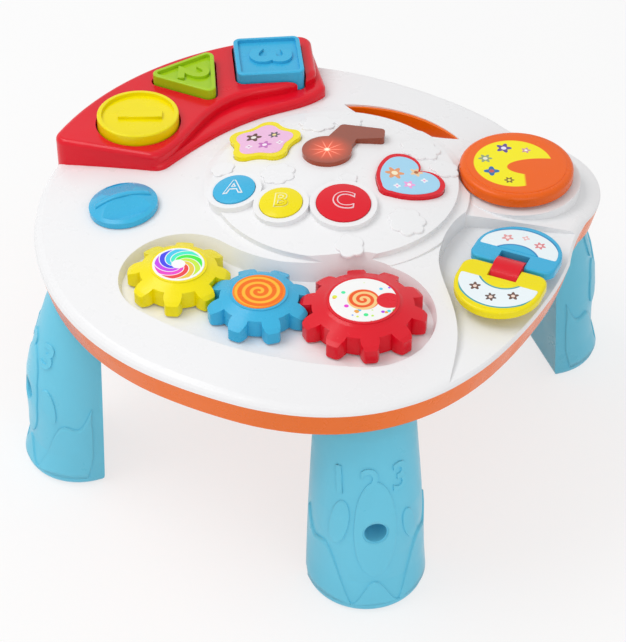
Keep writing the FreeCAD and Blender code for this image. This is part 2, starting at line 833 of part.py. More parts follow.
def make_top_shell():
    outside = rounded_deck(0, 0, rim)
    dome_outer = size("dome_radius") + size("dome_step_width")
    step = cylinder(dome_outer, rim + 5, dome_top, dome_middle.x, dome_middle.y)
    step = step.common(dome_sphere(size("dome_step_drop")))
    dome = cylinder(size("dome_radius"), rim + 5, dome_top + 5, dome_middle.x, dome_middle.y)
    dome = dome.common(dome_sphere(0))
    solid = outside.cut(kidney_pocket(0, gear_floor))
    solid = solid.cut(bay_prism(0, bay_floor))
    raised = step.fuse(dome).cut(kidney_pocket(0, gear_floor)).cut(bay_prism(0, bay_floor))
    drum_room = cylinder(size("drum_radius") + 1.2, size("drum_seat_rise"), 40)
    raised = raised.cut(placed(drum_room, drum_place))
    seat = placed(cylinder(size("drum_radius") + 6, -8.5, size("drum_seat_rise")), drum_place)
    solid = union([solid, raised, seat])
    for name, place in button_places.items():
        collar = cylinder(button_radius(name) + size("button_collar"), -6, size("button_collar_rise"))
        solid = solid.fuse(placed(collar, place))
    # The hollow under the skin
    inner = rounded_deck(wall, wall, rim - 1)
    inner_dome = cylinder(size("dome_radius") - wall, rim, dome_top, dome_middle.x, dome_middle.y)
    inner_dome = inner_dome.common(dome_sphere(wall))
    hollow = inner.fuse(inner_dome)
    hollow = hollow.cut(kidney_pocket(wall, gear_floor - wall))
    hollow = hollow.cut(bay_prism(wall, bay_floor - wall))
    hollow = hollow.cut(seesaw_well(wall, bay_floor - well_depth - wall))
    hollow = hollow.cut(prism(slot_wire(2 * wall + 0.15), rim - 2, crown + 20))
    shell = solid.cut(hollow)
    pit = seesaw_well(wall, bay_floor - well_depth - wall)
    pit = pit.common(box(2 * far, 2 * far, bay_floor - well_depth - wall, bay_floor - 0.5))
    shell = shell.fuse(pit).cut(seesaw_well(0, bay_floor - well_depth))
    shell = shell.cut(prism(slot_wire(wall + 0.15), rim - 20, crown + 40))
    # Holes for everything that passes through the skin
    cuts = []
    for name, place in button_places.items():
        cuts.append(placed(cylinder(button_radius(name) + size("button_gap"), -20, 20), place))
    cuts.append(placed(prism(star_wire(size("button_gap")), -20, 20), star_place))
    cuts.append(placed(prism(heart_wire(size("button_gap")), -20, 20), heart_place))
    cuts.append(placed(note_solid(0.0, -20, 20), note_place))
    cuts.append(placed(cylinder(size("knob_shaft_radius") + size("running_fit"), -20, 20), knob_place))
    cuts.append(placed(cylinder(size("drum_stem_radius") + size("button_gap"), -20, 20), drum_place))
    for middle in (yellow_middle, blue_middle, red_middle):
        cuts.append(cylinder(size("axle_radius"), rim - 10, gear_floor + 2, middle.x, middle.y))
    shell = shell.cut(Part.makeCompound(cuts))
    # Room under the skin for the buttons' flanges and their travel
    flange_room = 0.4
    rooms = []
    for name, place in button_places.items():
        reach = button_radius(name) + size("button_flange_reach") + flange_room
        rooms.append(placed(cylinder(reach, *flange_span("button_skirt", flange_room)), place))
    star_reach = star_wire(size("button_flange_reach") + flange_room)
    rooms.append(placed(prism(star_reach, *flange_span("picture_skirt", flange_room)), star_place))
    shell = shell.cut(Part.makeCompound(rooms))
    # Posts that take the case screws and carry the board
    posts = []
    for place in post_places:
        post = cylinder(size("post_radius"), rim + 1, crown + 20, place.x, place.y).common(outside)
        posts.append(post.cut(bay_prism(0, bay_floor)))
    for place in board_posts:
        height = dome_height(place.x, place.y) - wall / 2
        posts.append(cylinder(size("post_radius") - 1, board_high, height, place.x, place.y))
    shell = shell.multiFuse(posts)
    holes = [cylinder(size("screw_radius"), rim, rim + screw_reach(place), place.x, place.y)
             for place in post_places]
    shell = shell.cut(Part.makeCompound(holes))
    # Ears that hold the see-saw pin
    ears = []
    for side in (-1, 1):
        start = side * ear_offset if side > 0 else -ear_offset - ear_thick
        upright = Part.makeBox(ear_thick, 2 * ear_radius, far, Vector(start, -ear_radius, -far))
        rounding = Part.makeCylinder(ear_radius, ear_thick, Vector(start, 0, 0), Vector(1, 0, 0))
        ear = placed(upright.fuse(rounding), seesaw_place)
        ears.append(ear.common(box(2 * far, 2 * far, bay_floor - well_depth - 1, crown)))
    shell = shell.multiFuse(ears)
    pin_hole = Part.makeCylinder(
        size("seesaw_pin_radius"), 2 * far, Vector(-far, 0, 0), Vector(1, 0, 0))
    pin_hole = placed(pin_hole, seesaw_place).common(seesaw_well(0, bay_floor - well_depth))
    return shell.cut(pin_hole)


def loft_band(inset_top, inset_bottom, low, high):
    bottom = at_height(plan_wire(inset_bottom), low)
    top = at_height(plan_wire(inset_top), high)
    return Part.makeLoft([bottom, top], True, True)


door_width = size("cell_length") + 14.0
door_depth = 3 * size("cell_pitch") + 6.0


def make_lower_shell():
    inset = size("band_inset")
    skin = size("tray_wall")
    outside = loft_band(0, inset, band_bottom, rim)
    inside = loft_band(skin, inset + skin, tray_top, rim + 1)
    shell = outside.cut(inside)
    lining = prism(slot_wire(wall), band_bottom, rim).cut(prism(slot_wire(0), band_bottom - 5, rim + 5))
    parts = [shell.cut(prism(slot_wire(0), band_bottom - 5, rim + 5)), lining]
    upper_lining = prism(slot_wire(wall), rim - 0.5, deck_height(0, size("slot_y")) - 2.5)
    parts.append(upper_lining.cut(prism(slot_wire(0), rim - 5, crown + 5)))
    for place in post_places:
        parts.append(cylinder(size("post_radius"), band_bottom, rim + 0.9, place.x, place.y))
    for place in leg_places.values():
        parts.append(placed(make_leg_plug(), place))
    # Battery box walls stand on the floor of the tray
    x = size("battery_x")
    y = size("battery_y")
    walls = box(door_width + 4, door_depth + 4, band_bottom, rim - 1, x, y)
    parts.append(walls.cut(box(door_width, door_depth, band_bottom - 1, rim, x, y)))
    shell = union(parts)
    cuts = [box(door_width, door_depth, band_bottom - 1, tray_top + 1, x, y)]
    for place in post_places:
        cuts.append(cylinder(size("screw_radius") + 0.1, band_bottom - 1, rim + 2, place.x, place.y))
        cuts.append(cylinder(size("screw_head_radius") + 0.3, band_bottom - 1, rim - 6, place.x, place.y))
    for ring in range(1, 4):
        total = 6 * ring
        for step in range(total):
            spot = at_angle(Vector(size("speaker_x"), size("speaker_y"), 0), 6.0 * ring, 360.0 * step / total)
            cuts.append(cylinder(1.6, band_bottom - 1, tray_top + 1, spot.x, spot.y))
    return shell.cut(Part.makeCompound(cuts))


# Gears

def gear_outline(teeth):
    """Closed wire of involute teeth with backlash; flanks below the base circle run radial."""
    pitch = size("tooth_pitch_radius") * teeth
    tip = pitch + size("tooth_reach")
    root = pitch - size("tooth_reach") - size("tooth_root_gap")
    pressure = math.radians(25)
    base = pitch * math.cos(pressure)
    spread = math.pi / (2 * teeth) - size("tooth_backlash") / (4 * pitch)

    def involute(radius):
        angle = math.acos(min(1.0, base / radius))
        return math.tan(angle) - angle

    def flank_angle(radius):
        if radius <= base:
            return math.degrees(spread + involute(pitch))
        return math.degrees(spread + involute(pitch) - involute(radius))

    origin = Vector(0, 0, 0)
    start = max(base, root)
    radii = [start + (tip - start) * share for share in (0, 0.5, 1)]
    edges = []
    for tooth in range(teeth):
        middle = 360 * tooth / teeth
        following = 360 * (tooth + 1) / teeth
        rising = [at_angle(origin, radius, middle - flank_angle(radius)) for radius in radii]
        falling = [at_angle(origin, radius, middle + flank_angle(radius)) for radius in reversed(radii)]
        foot_left = at_angle(origin, root, middle - flank_angle(root))
        foot_right = at_angle(origin, root, middle + flank_angle(root))
        next_foot = at_angle(origin, root, following - flank_angle(root))
        edges.append(line(foot_left, rising[0]))
        edges.append(arc(*rising))
        edges.append(arc(rising[-1], at_angle(origin, tip, middle), falling[0]))
        edges.append(arc(*falling))
        edges.append(line(falling[-1], foot_right))
        edges.append(arc(foot_right, at_angle(origin, root, middle + 180 / teeth), next_foot))
    return Part.Wire(edges)


def make_gear(teeth, height, side, plateau):
    """Toothed disc whose top slopes from a round label plateau down to the teeth."""
    pitch = size("tooth_pitch_radius") * teeth
    tip = pitch + size("tooth_reach")
    teeth_solid = prism(gear_outline(teeth), 0, height)
    corner_edges = []
    for edge in teeth_solid.Edges:
        ends = [vertex.Point for vertex in edge.Vertexes]
        if len(ends) == 2 and abs(ends[0].z - ends[1].z) > height - 0.1:
            if abs(Vector(ends[0].x, ends[0].y, 0).Length - tip) < 0.05:
                corner_edges.append(edge)
    teeth_solid = teeth_solid.makeFillet(size("tooth_corner"), corner_edges)
    edge_round = 3.0
    cap = revolve_profile([
        (0, 0), (tip + 1, 0), (tip + 1, side - edge_round), (tip - edge_round, side),
        (plateau + 2.5, height - 2.2), (plateau, height - 0.8), (plateau, height), (0, height),
    ])
    gear = teeth_solid.common(cap)
    hub = size("axle_radius") + 3.5
    inner = pitch - size("tooth_reach") - size("tooth_root_gap") - 4.0
    hollow = cylinder(inner, -1, side - 6).cut(cylinder(hub, -2, side))
    bore = cylinder(size("axle_radius") + size("running_fit"), -1, height - 4)
    return gear.cut(hollow).cut(bore)


def gear_node(name, middle, teeth, height, side, plateau, turn):
    shape = make_gear(teeth, height, side, plateau)
    place = Placement(Vector(middle.x, middle.y, gear_bottom), Rotation(UP, turn))
    return node(name, shape, place)


# Meshing: the blue gear shows a tooth to the yellow gear and to the red gear a gap
blue_teeth = count("small_gear_teeth")
red_teeth = count("large_gear_teeth")
blue_turn = size("yellow_gear_angle")
yellow_turn = size("yellow_gear_angle") + 180 + 180 / blue_teeth
blue_pitch_angle = 360 / blue_teeth
phase = (size("red_gear_angle") - blue_turn) / blue_pitch_angle
phase = phase - math.floor(phase)
red_turn = size("red_gear_angle") + 180 + (phase + 0.5) * 360 / red_teeth

yellow_gear = gear_node("yellow_gear", yellow_middle, blue_teeth, size("small_gear_height"),
                        size("small_gear_side"), size("small_label_plateau"), yellow_turn)
blue_gear = gear_node("blue_gear", blue_middle, blue_teeth, size("small_gear_height"),
                      size("small_gear_side"), size("small_label_plateau"), blue_turn)
red_gear = gear_node("red_gear", red_middle, red_teeth, size("large_gear_height"),
                     size("large_gear_side"), size("large_label_plateau"), red_turn)


def make_axles():
    axles = []
    for middle, height in ((yellow_middle, size("small_gear_height")),
                           (blue_middle, size("small_gear_height")),
                           (red_middle, size("large_gear_height"))):
        pin = cylinder(size("axle_radius"), gear_floor - wall, gear_bottom + height - 4.3, middle.x, middle.y)
        flange = cylinder(size("axle_flange_radius"), gear_floor, gear_bottom - 0.1, middle.x, middle.y)
        axles.append(pin.fuse(flange).removeSplitter())
    return Part.makeCompound(axles)


node("top_shell", make_top_shell())
node("lower_shell", make_lower_shell())
node("gear_axles", make_axles())

leg_shape = make_leg()
for leg_name, place in leg_places.items():
    node(leg_name, leg_shape, place)


# Push buttons: domed cap, skirt through the skin, flange that holds it in, stem to the mat

mat_top = board_high + 3.5


def button_solid(radius):
    rise = size("button_collar_rise") + size("button_proud")
    bulge = 2.0
    low = -size("button_skirt")
    cap = cylinder(radius, low, rise)
    ball_radius = (radius ** 2 + bulge ** 2) / (2 * bulge)
    ball = Part.makeSphere(ball_radius, Vector(0, 0, rise - ball_radius))
    cap = cap.common(ball.fuse(cylinder(radius + 1, low - 1, 0)))
    flange = cylinder(radius + size("button_flange_reach"), low, low + size("button_flange"))
    return cap.fuse(flange)


def stem_to_mat(place, travel):
    """Length of the stem from the local origin down to just above the key mat."""
    return (place.Base.z - mat_top) / place.Rotation.multVec(UP).z - travel - 0.9


button_nodes = []
for name, place in button_places.items():
    solid = button_solid(button_radius(name))
    stem = cylinder(size("button_stem_radius"), -stem_to_mat(place, size("button_travel")), -7)
    node(name, solid.fuse(stem).removeSplitter(), place)


def picture_button(wire_of, place):
    low = -size("picture_skirt")
    plate = prism(wire_of(0), low, size("picture_proud"))
    flange = prism(wire_of(size("button_flange_reach")), low, low + size("button_flange"))
    stem = cylinder(size("button_stem_radius"), -stem_to_mat(place, size("button_travel")), -7)
    return union([plate, flange, stem])


node("star_button", picture_button(star_wire, star_place), star_place)
node("heart_button", picture_button(heart_wire, heart_place), heart_place)

lens = note_solid(0.0, -wall - 1.0, size("note_proud"))
node("note_lens", lens, note_place)


# Knob with a straight grip across a shallow dome

def make_knob():
    radius = size("knob_radius")
    height = size("knob_height")
    ball_radius = (radius ** 2 + (height - 5) ** 2) / (2 * (height - 5))
    ball = Part.makeSphere(ball_radius, Vector(0, 0, height - ball_radius))
    body = cylinder(radius, 0.4, height + 1).common(ball.fuse(cylinder(radius + 1, 0, 5)))
    grip = size("knob_grip_width")
    disc = cylinder(radius - 3.0, 5, far)
    # Two flats fall away from the straight grip line
    for fall, side in ((26, -1), (17, 1)):
        flat = Part.makeBox(2 * far, far, far, Vector(-far, 0, 0))
        flat.rotate(Vector(0, 0, 0), Vector(1, 0, 0), -fall)
        if side < 0:
            flat.rotate(Vector(0, 0, 0), UP, 180)
        flat.translate(Vector(0, side * grip / 2, height - 0.3))
        body = body.cut(flat.common(disc))
    shaft = cylinder(size("knob_shaft_radius"), -11, 1)
    return body.fuse(shaft)


node("mode_knob", make_knob(), knob_place)
knob_switch = box(14, 14, -19, -11.3).cut(cylinder(size("knob_shaft_radius") + 0.3, -12, 0))
node("knob_switch", knob_switch, knob_place)


# Drum pad: a shallow cap with a soft edge over its seat

def make_drum():
    radius = size("drum_radius")
    low = size("drum_seat_rise") + size("drum_travel") + 0.4
    high = low + size("drum_height") - 3
    pad = cylinder(radius, low, high)
    rims = [edge for edge in pad.Edges if edge.BoundBox.ZMin > high - 0.1]
    pad = pad.makeFillet(4.0, rims)
    skirt = cylinder(radius, low, low + 1)
    stem = cylinder(size("drum_stem_radius"), -10, low + 1)
    flange = cylinder(size("drum_stem_radius") + 2.5, -9.2, -7)
    return union([pad, skirt, stem, flange])


node("drum_pad", make_drum(), drum_place)
drum_switch = box(16, 16, -18, -13.6)
node("drum_switch", drum_switch, drum_place)


# See-saw halves: half ovals with a notch for the bridge, sloping away from the middle

def seesaw_half(direction):
    half_width = size("seesaw_width") / 2
    half_length = size("seesaw_length") / 2
    gap = size("seesaw_gap")
    bottom = size("seesaw_pin_drop")
    corner = Vector(half_width, gap, 0)
    far_corner = Vector(-half_width, gap, 0)
    side_reach = 18.0
    wire = Part.Wire([
        line(far_corner, corner),
        line(corner, Vector(half_width, side_reach, 0)),
        arc(Vector(half_width, side_reach, 0), Vector(0, half_length, 0), Vector(-half_width, side_reach, 0)),
        line(Vector(-half_width, side_reach, 0), far_corner),
    ])
    plate = prism(wire, 0, size("seesaw_plate"))
    uprights = []
    for edge in plate.Edges:
        if edge.BoundBox.ZMax - edge.BoundBox.ZMin > size("seesaw_plate") - 0.1:
            if edge.BoundBox.YMax < gap + 0.1:
                uprights.append(edge)
    plate = plate.makeFillet(9.0, uprights)
    top = [edge for edge in plate.Edges if edge.BoundBox.ZMin > size("seesaw_plate") - 0.1]
    plate = plate.makeFillet(2.0, top)
    notch_half = size("bridge_width") / 2 + 0.4
    notch = Part.makeBox(2 * notch_half, size("bridge_radius") + 1.4, 40, Vector(-notch_half, -1, -20))
    plate = plate.cut(notch)
    plate.rotate(Vector(0, 0, 0), Vector(1, 0, 0), -size("seesaw_slope"))
    plate.translate(Vector(0, 0, bottom))
    if direction < 0:
        plate.rotate(Vector(0, 0, 0), UP, 180)
    return plate


def make_bridge():
    """Round-backed strap over the pin, with arms that carry the two halves."""
    width = size("bridge_width")
    radius = size("bridge_radius")
    drum = Part.makeCylinder(radius, width, Vector(-width / 2, 0, 0), Vector(1, 0, 0))
    keep = Part.makeBox(width, 2 * radius, radius + 5, Vector(-width / 2, -radius, -3.5))
    body = drum.common(keep)
    arms = []
    for side in (-1, 1):
        arm = Part.makeBox(width - 4, 22, 3.2, Vector(-(width - 4) / 2, 8, size("seesaw_pin_drop") - 3.25))
        arm.rotate(Vector(0, 0, size("seesaw_pin_drop")), Vector(1, 0, 0), -size("seesaw_slope"))
        if side < 0:
            arm.rotate(Vector(0, 0, 0), UP, 180)
        arms.append(arm)
    bridge = union([body] + arms)
    bore = Part.makeCylinder(
        size("seesaw_pin_radius") + size("running_fit"), 2 * far, Vector(-far, 0, 0), Vector(1, 0, 0))
    return bridge.cut(bore)


node("seesaw_blue_half", seesaw_half(1), seesaw_place)
node("seesaw_yellow_half", seesaw_half(-1), seesaw_place)
node("seesaw_bridge", make_bridge(), seesaw_place)
pin_start = Placement(Vector(-ear_offset - ear_thick, 0, 0), Rotation(Vector(0, 1, 0), 90))
primitive("Part::Cylinder", "seesaw_pin", seesaw_place.multiply(pin_start),
          Radius="Sizes.seesaw_pin_radius", Height="Sizes.bridge_width + 2 * (Sizes.ear_gap + Sizes.ear_thick)")
seesaw_switches = Part.makeCompound([
    box(8, 8, bay_floor - well_depth - wall - 6.0, bay_floor - well_depth - wall - 0.1, x, y)
    for x, y in ((size("seesaw_x") - 6, size("seesaw_y") + 18), (size("seesaw_x") + 6, size("seesaw_y") - 18))])
node("seesaw_switches", seesaw_switches)


# Shape sorter

def rounded_slab(wire, low, high, corner, edge_round):
    """Plate with its upright corners and its top edge rounded."""
    slab = prism(wire, low, high)
    uprights = [edge for edge in slab.Edges if edge.BoundBox.ZLength > high - low - 0.1]
    slab = slab.makeFillet(corner, uprights)
    top = [edge for edge in slab.Edges if edge.BoundBox.ZMin > high - 0.1]
    return slab.makeFillet(edge_round, top)


def make_panel():
    corner = size("panel_corner")
    edge_round = size("panel_edge_round")
    ledge = rounded_slab(panel_outline(PANEL_FOOT_EDGE), rim, rim + size("panel_ledge_rise"), corner, edge_round)
    upper = rounded_slab(panel_outline(PANEL_TOP_EDGE), rim, panel_top, corner, edge_round)
    panel = ledge.fuse(upper).cut(rounded_deck(0, 0, rim - 2))
    pockets = [prism(shape(size("pocket_gap")), pocket_floor, panel_top + 5) for shape in block_shapes.values()]
    return panel.cut(Part.makeCompound(pockets))


def make_block(shape):
    solid = prism(shape(0), pocket_floor + 0.3, block_top)
    top = [edge for edge in solid.Edges if edge.BoundBox.ZMin > block_top - 0.1]
    solid = solid.makeFillet(1.2, top)
    dish = prism(shape(-size("block_rim")), block_top - size("block_dish"), block_top + 1)
    return solid.cut(dish)


node("shape_panel", make_panel())
for block_name, block_shape in block_shapes.items():
    node(block_name, make_block(block_shape))


# Inside pieces

def make_screws():
    screws = []
    for place in post_places:
        reach = rim + screw_reach(place) - 0.2
        shank = cylinder(size("screw_radius") - 0.02, rim - 6, reach, place.x, place.y)
        head = cylinder(size("screw_head_radius"), rim - 8, rim - 6, place.x, place.y)
        screws.append(shank.fuse(head))
    return Part.makeCompound(screws)


node("case_screws", make_screws())

battery = Vector(size("battery_x"), size("battery_y"), 0)
cell_height = tray_top + size("cell_radius") + 0.8
cells = []
for lane in (-1, 0, 1):
    base = Vector(battery.x - size("cell_length") / 2, battery.y + lane * size("cell_pitch"), cell_height)
    body = Part.makeCylinder(size("cell_radius"), size("cell_length") - 1, base, Vector(1, 0, 0))
    tip = Part.makeCylinder(2.7, 1, base + Vector(size("cell_length") - 1, 0, 0), Vector(1, 0, 0))
    cells.append(body.fuse(tip))
node("battery_cells", Part.makeCompound(cells))

contacts = []
for side in (-1, 1):
    for lane in (-1, 0, 1):
        x = battery.x + side * (size("cell_length") / 2 + 0.6)
        contacts.append(box(1.0, 11, cell_height - 5, cell_height + 6, x, battery.y + lane * size("cell_pitch")))
node("battery_contacts", Part.makeCompound(contacts))

door = box(door_width - 2 * size("door_gap"), door_depth - 2 * size("door_gap"),
           band_bottom, tray_top, battery.x, battery.y)
door_screw_x = battery.x + door_width / 2 - 3.4
door = door.cut(cylinder(size("screw_radius"), band_bottom - 1, tray_top + 1, door_screw_x, battery.y))
node("battery_door", door)
primitive("Part::Cylinder", "door_screw", Placement(Vector(door_screw_x, battery.y, band_bottom + 0.4), Rotation()),
          Radius="Sizes.screw_radius - 0.02", Height="Sizes.tray_wall + 4.6")

board_corner = board_middle - Vector(size("board_width") / 2, size("board_depth") / 2, -board_low)
primitive("Part::Box", "circuit_board", Placement(board_corner, Rotation()),
          Length="Sizes.board_width", Width="Sizes.board_depth", Height="Sizes.board_thick")
mat = box(size("board_width") - 16, size("board_depth") - 14, board_high, board_high + 1.0,
          board_middle.x, board_middle.y)
domes = []
for place in list(button_places.values()) + [star_place, heart_place]:
    axis = place.Rotation.multVec(UP)
    drop = (place.Base.z - mat_top) / axis.z
    foot = place.Base - axis * drop
    domes.append(Part.makeCone(6.0, 4.5, mat_top - board_high - 0.2, Vector(foot.x, foot.y, board_high)))
lamp_hole = cylinder(4.0, board_low, mat_top + 5, note_place.Base.x, note_place.Base.y)
node("key_mat", union([mat] + domes).cut(lamp_hole))
lamp = union([
    cylinder(2.5, board_high, board_high + 14, note_place.Base.x, note_place.Base.y),
    cylinder(3.0, board_high, board_high + 1.2, note_place.Base.x, note_place.Base.y),
])
node("note_lamp", lamp)

speaker_place = Vector(size("speaker_x"), size("speaker_y"), tray_top)
basket = revolve_profile([
    (0, 0.8), (20, 0.8), (22, 0), (size("speaker_radius"), 0), (size("speaker_radius"), 1.5),
    (14, 7), (14, size("speaker_height")), (0, size("speaker_height")),
])
basket.translate(speaker_place)
node("speaker", basket)


# Check every object, then write one file per piece

doc.recompute()
os.makedirs("parts", exist_ok=True)
pieces = [piece for piece in doc.Objects if piece.TypeId.startswith("Part::")]
for piece in doc.Objects:
    if "Invalid" in piece.State or "Error" in piece.State:
        raise RuntimeError(f"{piece.Label} failed")
for piece in pieces:
    if piece.Shape.isNull() or not piece.Shape.isValid() or not piece.Shape.Solids:
        raise RuntimeError(f"{piece.Label} has no valid solid")
for piece in pieces:
    piece.Shape.exportStep(f"parts/{piece.Label}.step")
print(len(pieces), "pieces written")
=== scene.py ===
"""Looks of the musical activity table: moulded plastics, labels, raised letters and relief."""
import math

import bpy
import numpy as np
from mathutils import Matrix, Vector
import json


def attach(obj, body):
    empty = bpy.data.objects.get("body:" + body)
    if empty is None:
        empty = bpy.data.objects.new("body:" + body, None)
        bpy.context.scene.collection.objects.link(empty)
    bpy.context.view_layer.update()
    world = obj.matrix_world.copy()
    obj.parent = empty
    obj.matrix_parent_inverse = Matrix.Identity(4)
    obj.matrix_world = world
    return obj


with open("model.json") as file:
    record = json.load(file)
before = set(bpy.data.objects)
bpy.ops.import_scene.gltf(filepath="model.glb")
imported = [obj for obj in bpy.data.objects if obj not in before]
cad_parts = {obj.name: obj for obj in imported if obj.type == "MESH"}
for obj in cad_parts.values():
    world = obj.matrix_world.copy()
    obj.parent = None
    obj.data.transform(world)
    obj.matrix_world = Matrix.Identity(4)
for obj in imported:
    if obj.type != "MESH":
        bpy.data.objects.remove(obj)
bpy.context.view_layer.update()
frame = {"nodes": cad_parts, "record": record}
nodes = frame["nodes"]
scene = bpy.context.scene


COLOURS = {
    "white": (0.86, 0.86, 0.87),
    "rim_orange": (0.90, 0.160, 0.0),
    "drum_orange": (0.88, 0.125, 0.0),
    "red": (0.76, 0.004, 0.018),
    "blue": (0.045, 0.45, 0.74),
    "leg_blue": (0.155, 0.60, 0.80),
    "yellow": (0.90, 0.76, 0.0),
    "green": (0.39, 0.63, 0.01),
}

# Node graphs written as arithmetic

class Wire:
    """A socket that can be used in sums: every operation adds one Math node."""

    def __init__(self, tree, socket):
        self.tree = tree
        self.socket = socket

    def math(self, operation, *others, clamp=False):
        step = self.tree.nodes.new("ShaderNodeMath")
        step.operation = operation
        step.use_clamp = clamp
        self.tree.links.new(self.socket, step.inputs[0])
        for index, other in enumerate(others, start=1):
            if isinstance(other, Wire):
                self.tree.links.new(other.socket, step.inputs[index])
            else:
                step.inputs[index].default_value = other
        return Wire(self.tree, step.outputs[0])

    def __add__(self, other):
        return self.math("ADD", other)

    def __sub__(self, other):
        return self.math("SUBTRACT", other)

    def __mul__(self, other):
        return self.math("MULTIPLY", other)

    def __truediv__(self, other):
        return self.math("DIVIDE", other)

    def ramp(self, low, high, start=0.0, end=1.0):
        """Smooth change from start to end as the value goes from low to high."""
        step = self.tree.nodes.new("ShaderNodeMapRange")
        step.interpolation_type = "SMOOTHSTEP"
        self.tree.links.new(self.socket, step.inputs["Value"])
        step.inputs["From Min"].default_value = low
        step.inputs["From Max"].default_value = high
        step.inputs["To Min"].default_value = start
        step.inputs["To Max"].default_value = end
        return Wire(self.tree, step.outputs["Result"])


def put(tree, socket, value):
    if isinstance(value, Wire):
        tree.links.new(value.socket, socket)
    elif isinstance(value, (tuple, list)) and len(value) == 3 and socket.type == "RGBA":
        socket.default_value = (*value, 1.0)
    else:
        socket.default_value = value


def blend_colours(tree, factor, first, second):
    mix = tree.nodes.new("ShaderNodeMix")
    mix.data_type = "RGBA"
    put(tree, mix.inputs[0], factor)
    put(tree, mix.inputs[6], first)
    put(tree, mix.inputs[7], second)
    return Wire(tree, mix.outputs[2])


def place_in(tree, centre=(0, 0, 0), turn=0.0):
    """Object coordinates in metres about a centre, turned about Z."""
    coordinates = tree.nodes.new("ShaderNodeTexCoord")
    mapping = tree.nodes.new("ShaderNodeMapping")
    mapping.vector_type = "TEXTURE"
    mapping.inputs["Location"].default_value = centre
    mapping.inputs["Rotation"].default_value = (0, 0, turn)
    tree.links.new(coordinates.outputs["Object"], mapping.inputs["Vector"])
    return mapping.outputs["Vector"]


def split(tree, vector):
    parts = tree.nodes.new("ShaderNodeSeparateXYZ")
    tree.links.new(vector, parts.inputs[0])
    return [Wire(tree, parts.outputs[axis]) for axis in range(3)]


def noise(tree, vector, scale, detail=3.0, roughness=0.5):
    texture = tree.nodes.new("ShaderNodeTexNoise")
    texture.inputs["Scale"].default_value = scale
    texture.inputs["Detail"].default_value = detail
    texture.inputs["Roughness"].default_value = roughness
    tree.links.new(vector, texture.inputs["Vector"])
    return Wire(tree, texture.outputs["Fac"])


def new_material(name):
    material = bpy.data.materials.new(name)
    material.use_nodes = True
    tree = material.node_tree
    shader = tree.nodes["Principled BSDF"]
    return material, tree, shader


def moulded_finish(tree, shader, colour, rough=0.26, grain=0.012, shade=0.93):
    """Injection-moulded plastic: slight flow tint, uneven gloss and a fine orange-peel skin."""
    vector = place_in(tree)
    flow = noise(tree, vector, 9.0, 4.0)
    fine = noise(tree, vector, 420.0, 3.0)
    smudge = noise(tree, vector, 38.0, 5.0, 0.62)
    if isinstance(colour, Wire):
        dark = blend_colours(tree, 1.0 - shade, colour, (0.0, 0.0, 0.0))
    else:
        dark = tuple(shade * channel for channel in colour)
    tint = blend_colours(tree, flow.ramp(0.35, 0.68), dark, colour)
    put(tree, shader.inputs["Base Color"], tint)
    put(tree, shader.inputs["Roughness"], smudge.ramp(0.3, 0.75, rough - 0.05, rough + 0.09))
    put(tree, shader.inputs["Coat Weight"], smudge.ramp(0.3, 0.8, 0.10, 0.04))
    shader.inputs["Coat Roughness"].default_value = 0.09
    shader.inputs["Specular IOR Level"].default_value = 0.26
    shader.inputs["IOR"].default_value = 1.5
    bump = tree.nodes.new("ShaderNodeBump")
    bump.inputs["Strength"].default_value = grain * 4
    bump.inputs["Distance"].default_value = 0.0004
    tree.links.new(fine.socket, bump.inputs["Height"])
    tree.links.new(bump.outputs["Normal"], shader.inputs["Normal"])


def moulded(name, colour, **finish):
    material, tree, shader = new_material(name)
    moulded_finish(tree, shader, colour, **finish)
    return material


def metal(name, colour, rough):
    material, tree, shader = new_material(name)
    vector = place_in(tree)
    worn = noise(tree, vector, 260.0, 4.0)
    put(tree, shader.inputs["Base Color"],
        blend_colours(tree, worn.ramp(0.3, 0.7), tuple(0.8 * c for c in colour), colour))
    put(tree, shader.inputs["Roughness"], worn.ramp(0.3, 0.7, rough - 0.08, rough + 0.1))
    shader.inputs["Metallic"].default_value = 1.0
    return material


def lens_material(name, colour, glow):
    """Clear tinted lens lit from below: white eye over the lamp with rays, deep at its edges."""
    material, tree, shader = new_material(name)
    x, y = split(tree, place_in(tree, LAMP))[:2]
    reach = (x * x + y * y).math("SQRT")
    near = reach.ramp(0.001, 0.024, 1.0, 0.0)
    hot = reach.ramp(0.0008, 0.0034, 1.0, 0.0)
    beam = (y.math("ARCTAN2", x) * 5.0 + 0.6).math("COSINE").math("ABSOLUTE").math("POWER", 26.0)
    rays = beam * reach.ramp(0.002, 0.017, 1.0, 0.0)
    swirl = noise(tree, place_in(tree), 60.0, 4.0)
    tint = blend_colours(tree, near * 0.8, colour, glow)
    depth = blend_colours(tree, swirl.ramp(0.3, 0.7) * 0.35, tint, (0.22, 0.03, 0.004))
    put(tree, shader.inputs["Base Color"], depth)
    put(tree, shader.inputs["Roughness"], swirl.ramp(0.3, 0.7, 0.10, 0.2))
    bright = (hot + rays * 0.75).math("MINIMUM", 1.0)
    put(tree, shader.inputs["Emission Color"], blend_colours(tree, bright, glow, (1.0, 0.80, 0.62)))
    put(tree, shader.inputs["Emission Strength"], near * 0.28 + bright * 0.9)
    shader.inputs["Coat Weight"].default_value = 0.3
    return material


# Building pieces from surfaces and letters

def add_piece(name, points, faces, material, body):
    mesh = bpy.data.meshes.new(name)
    mesh.from_pydata(np.asarray(points).tolist(), [], [tuple(int(i) for i in face) for face in faces])
    mesh.materials.append(material)
    mesh.polygons.foreach_set("use_smooth", [True] * len(mesh.polygons))
    piece = bpy.data.objects.new(name, mesh)
    scene.collection.objects.link(piece)
    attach(piece, body)
    return piece


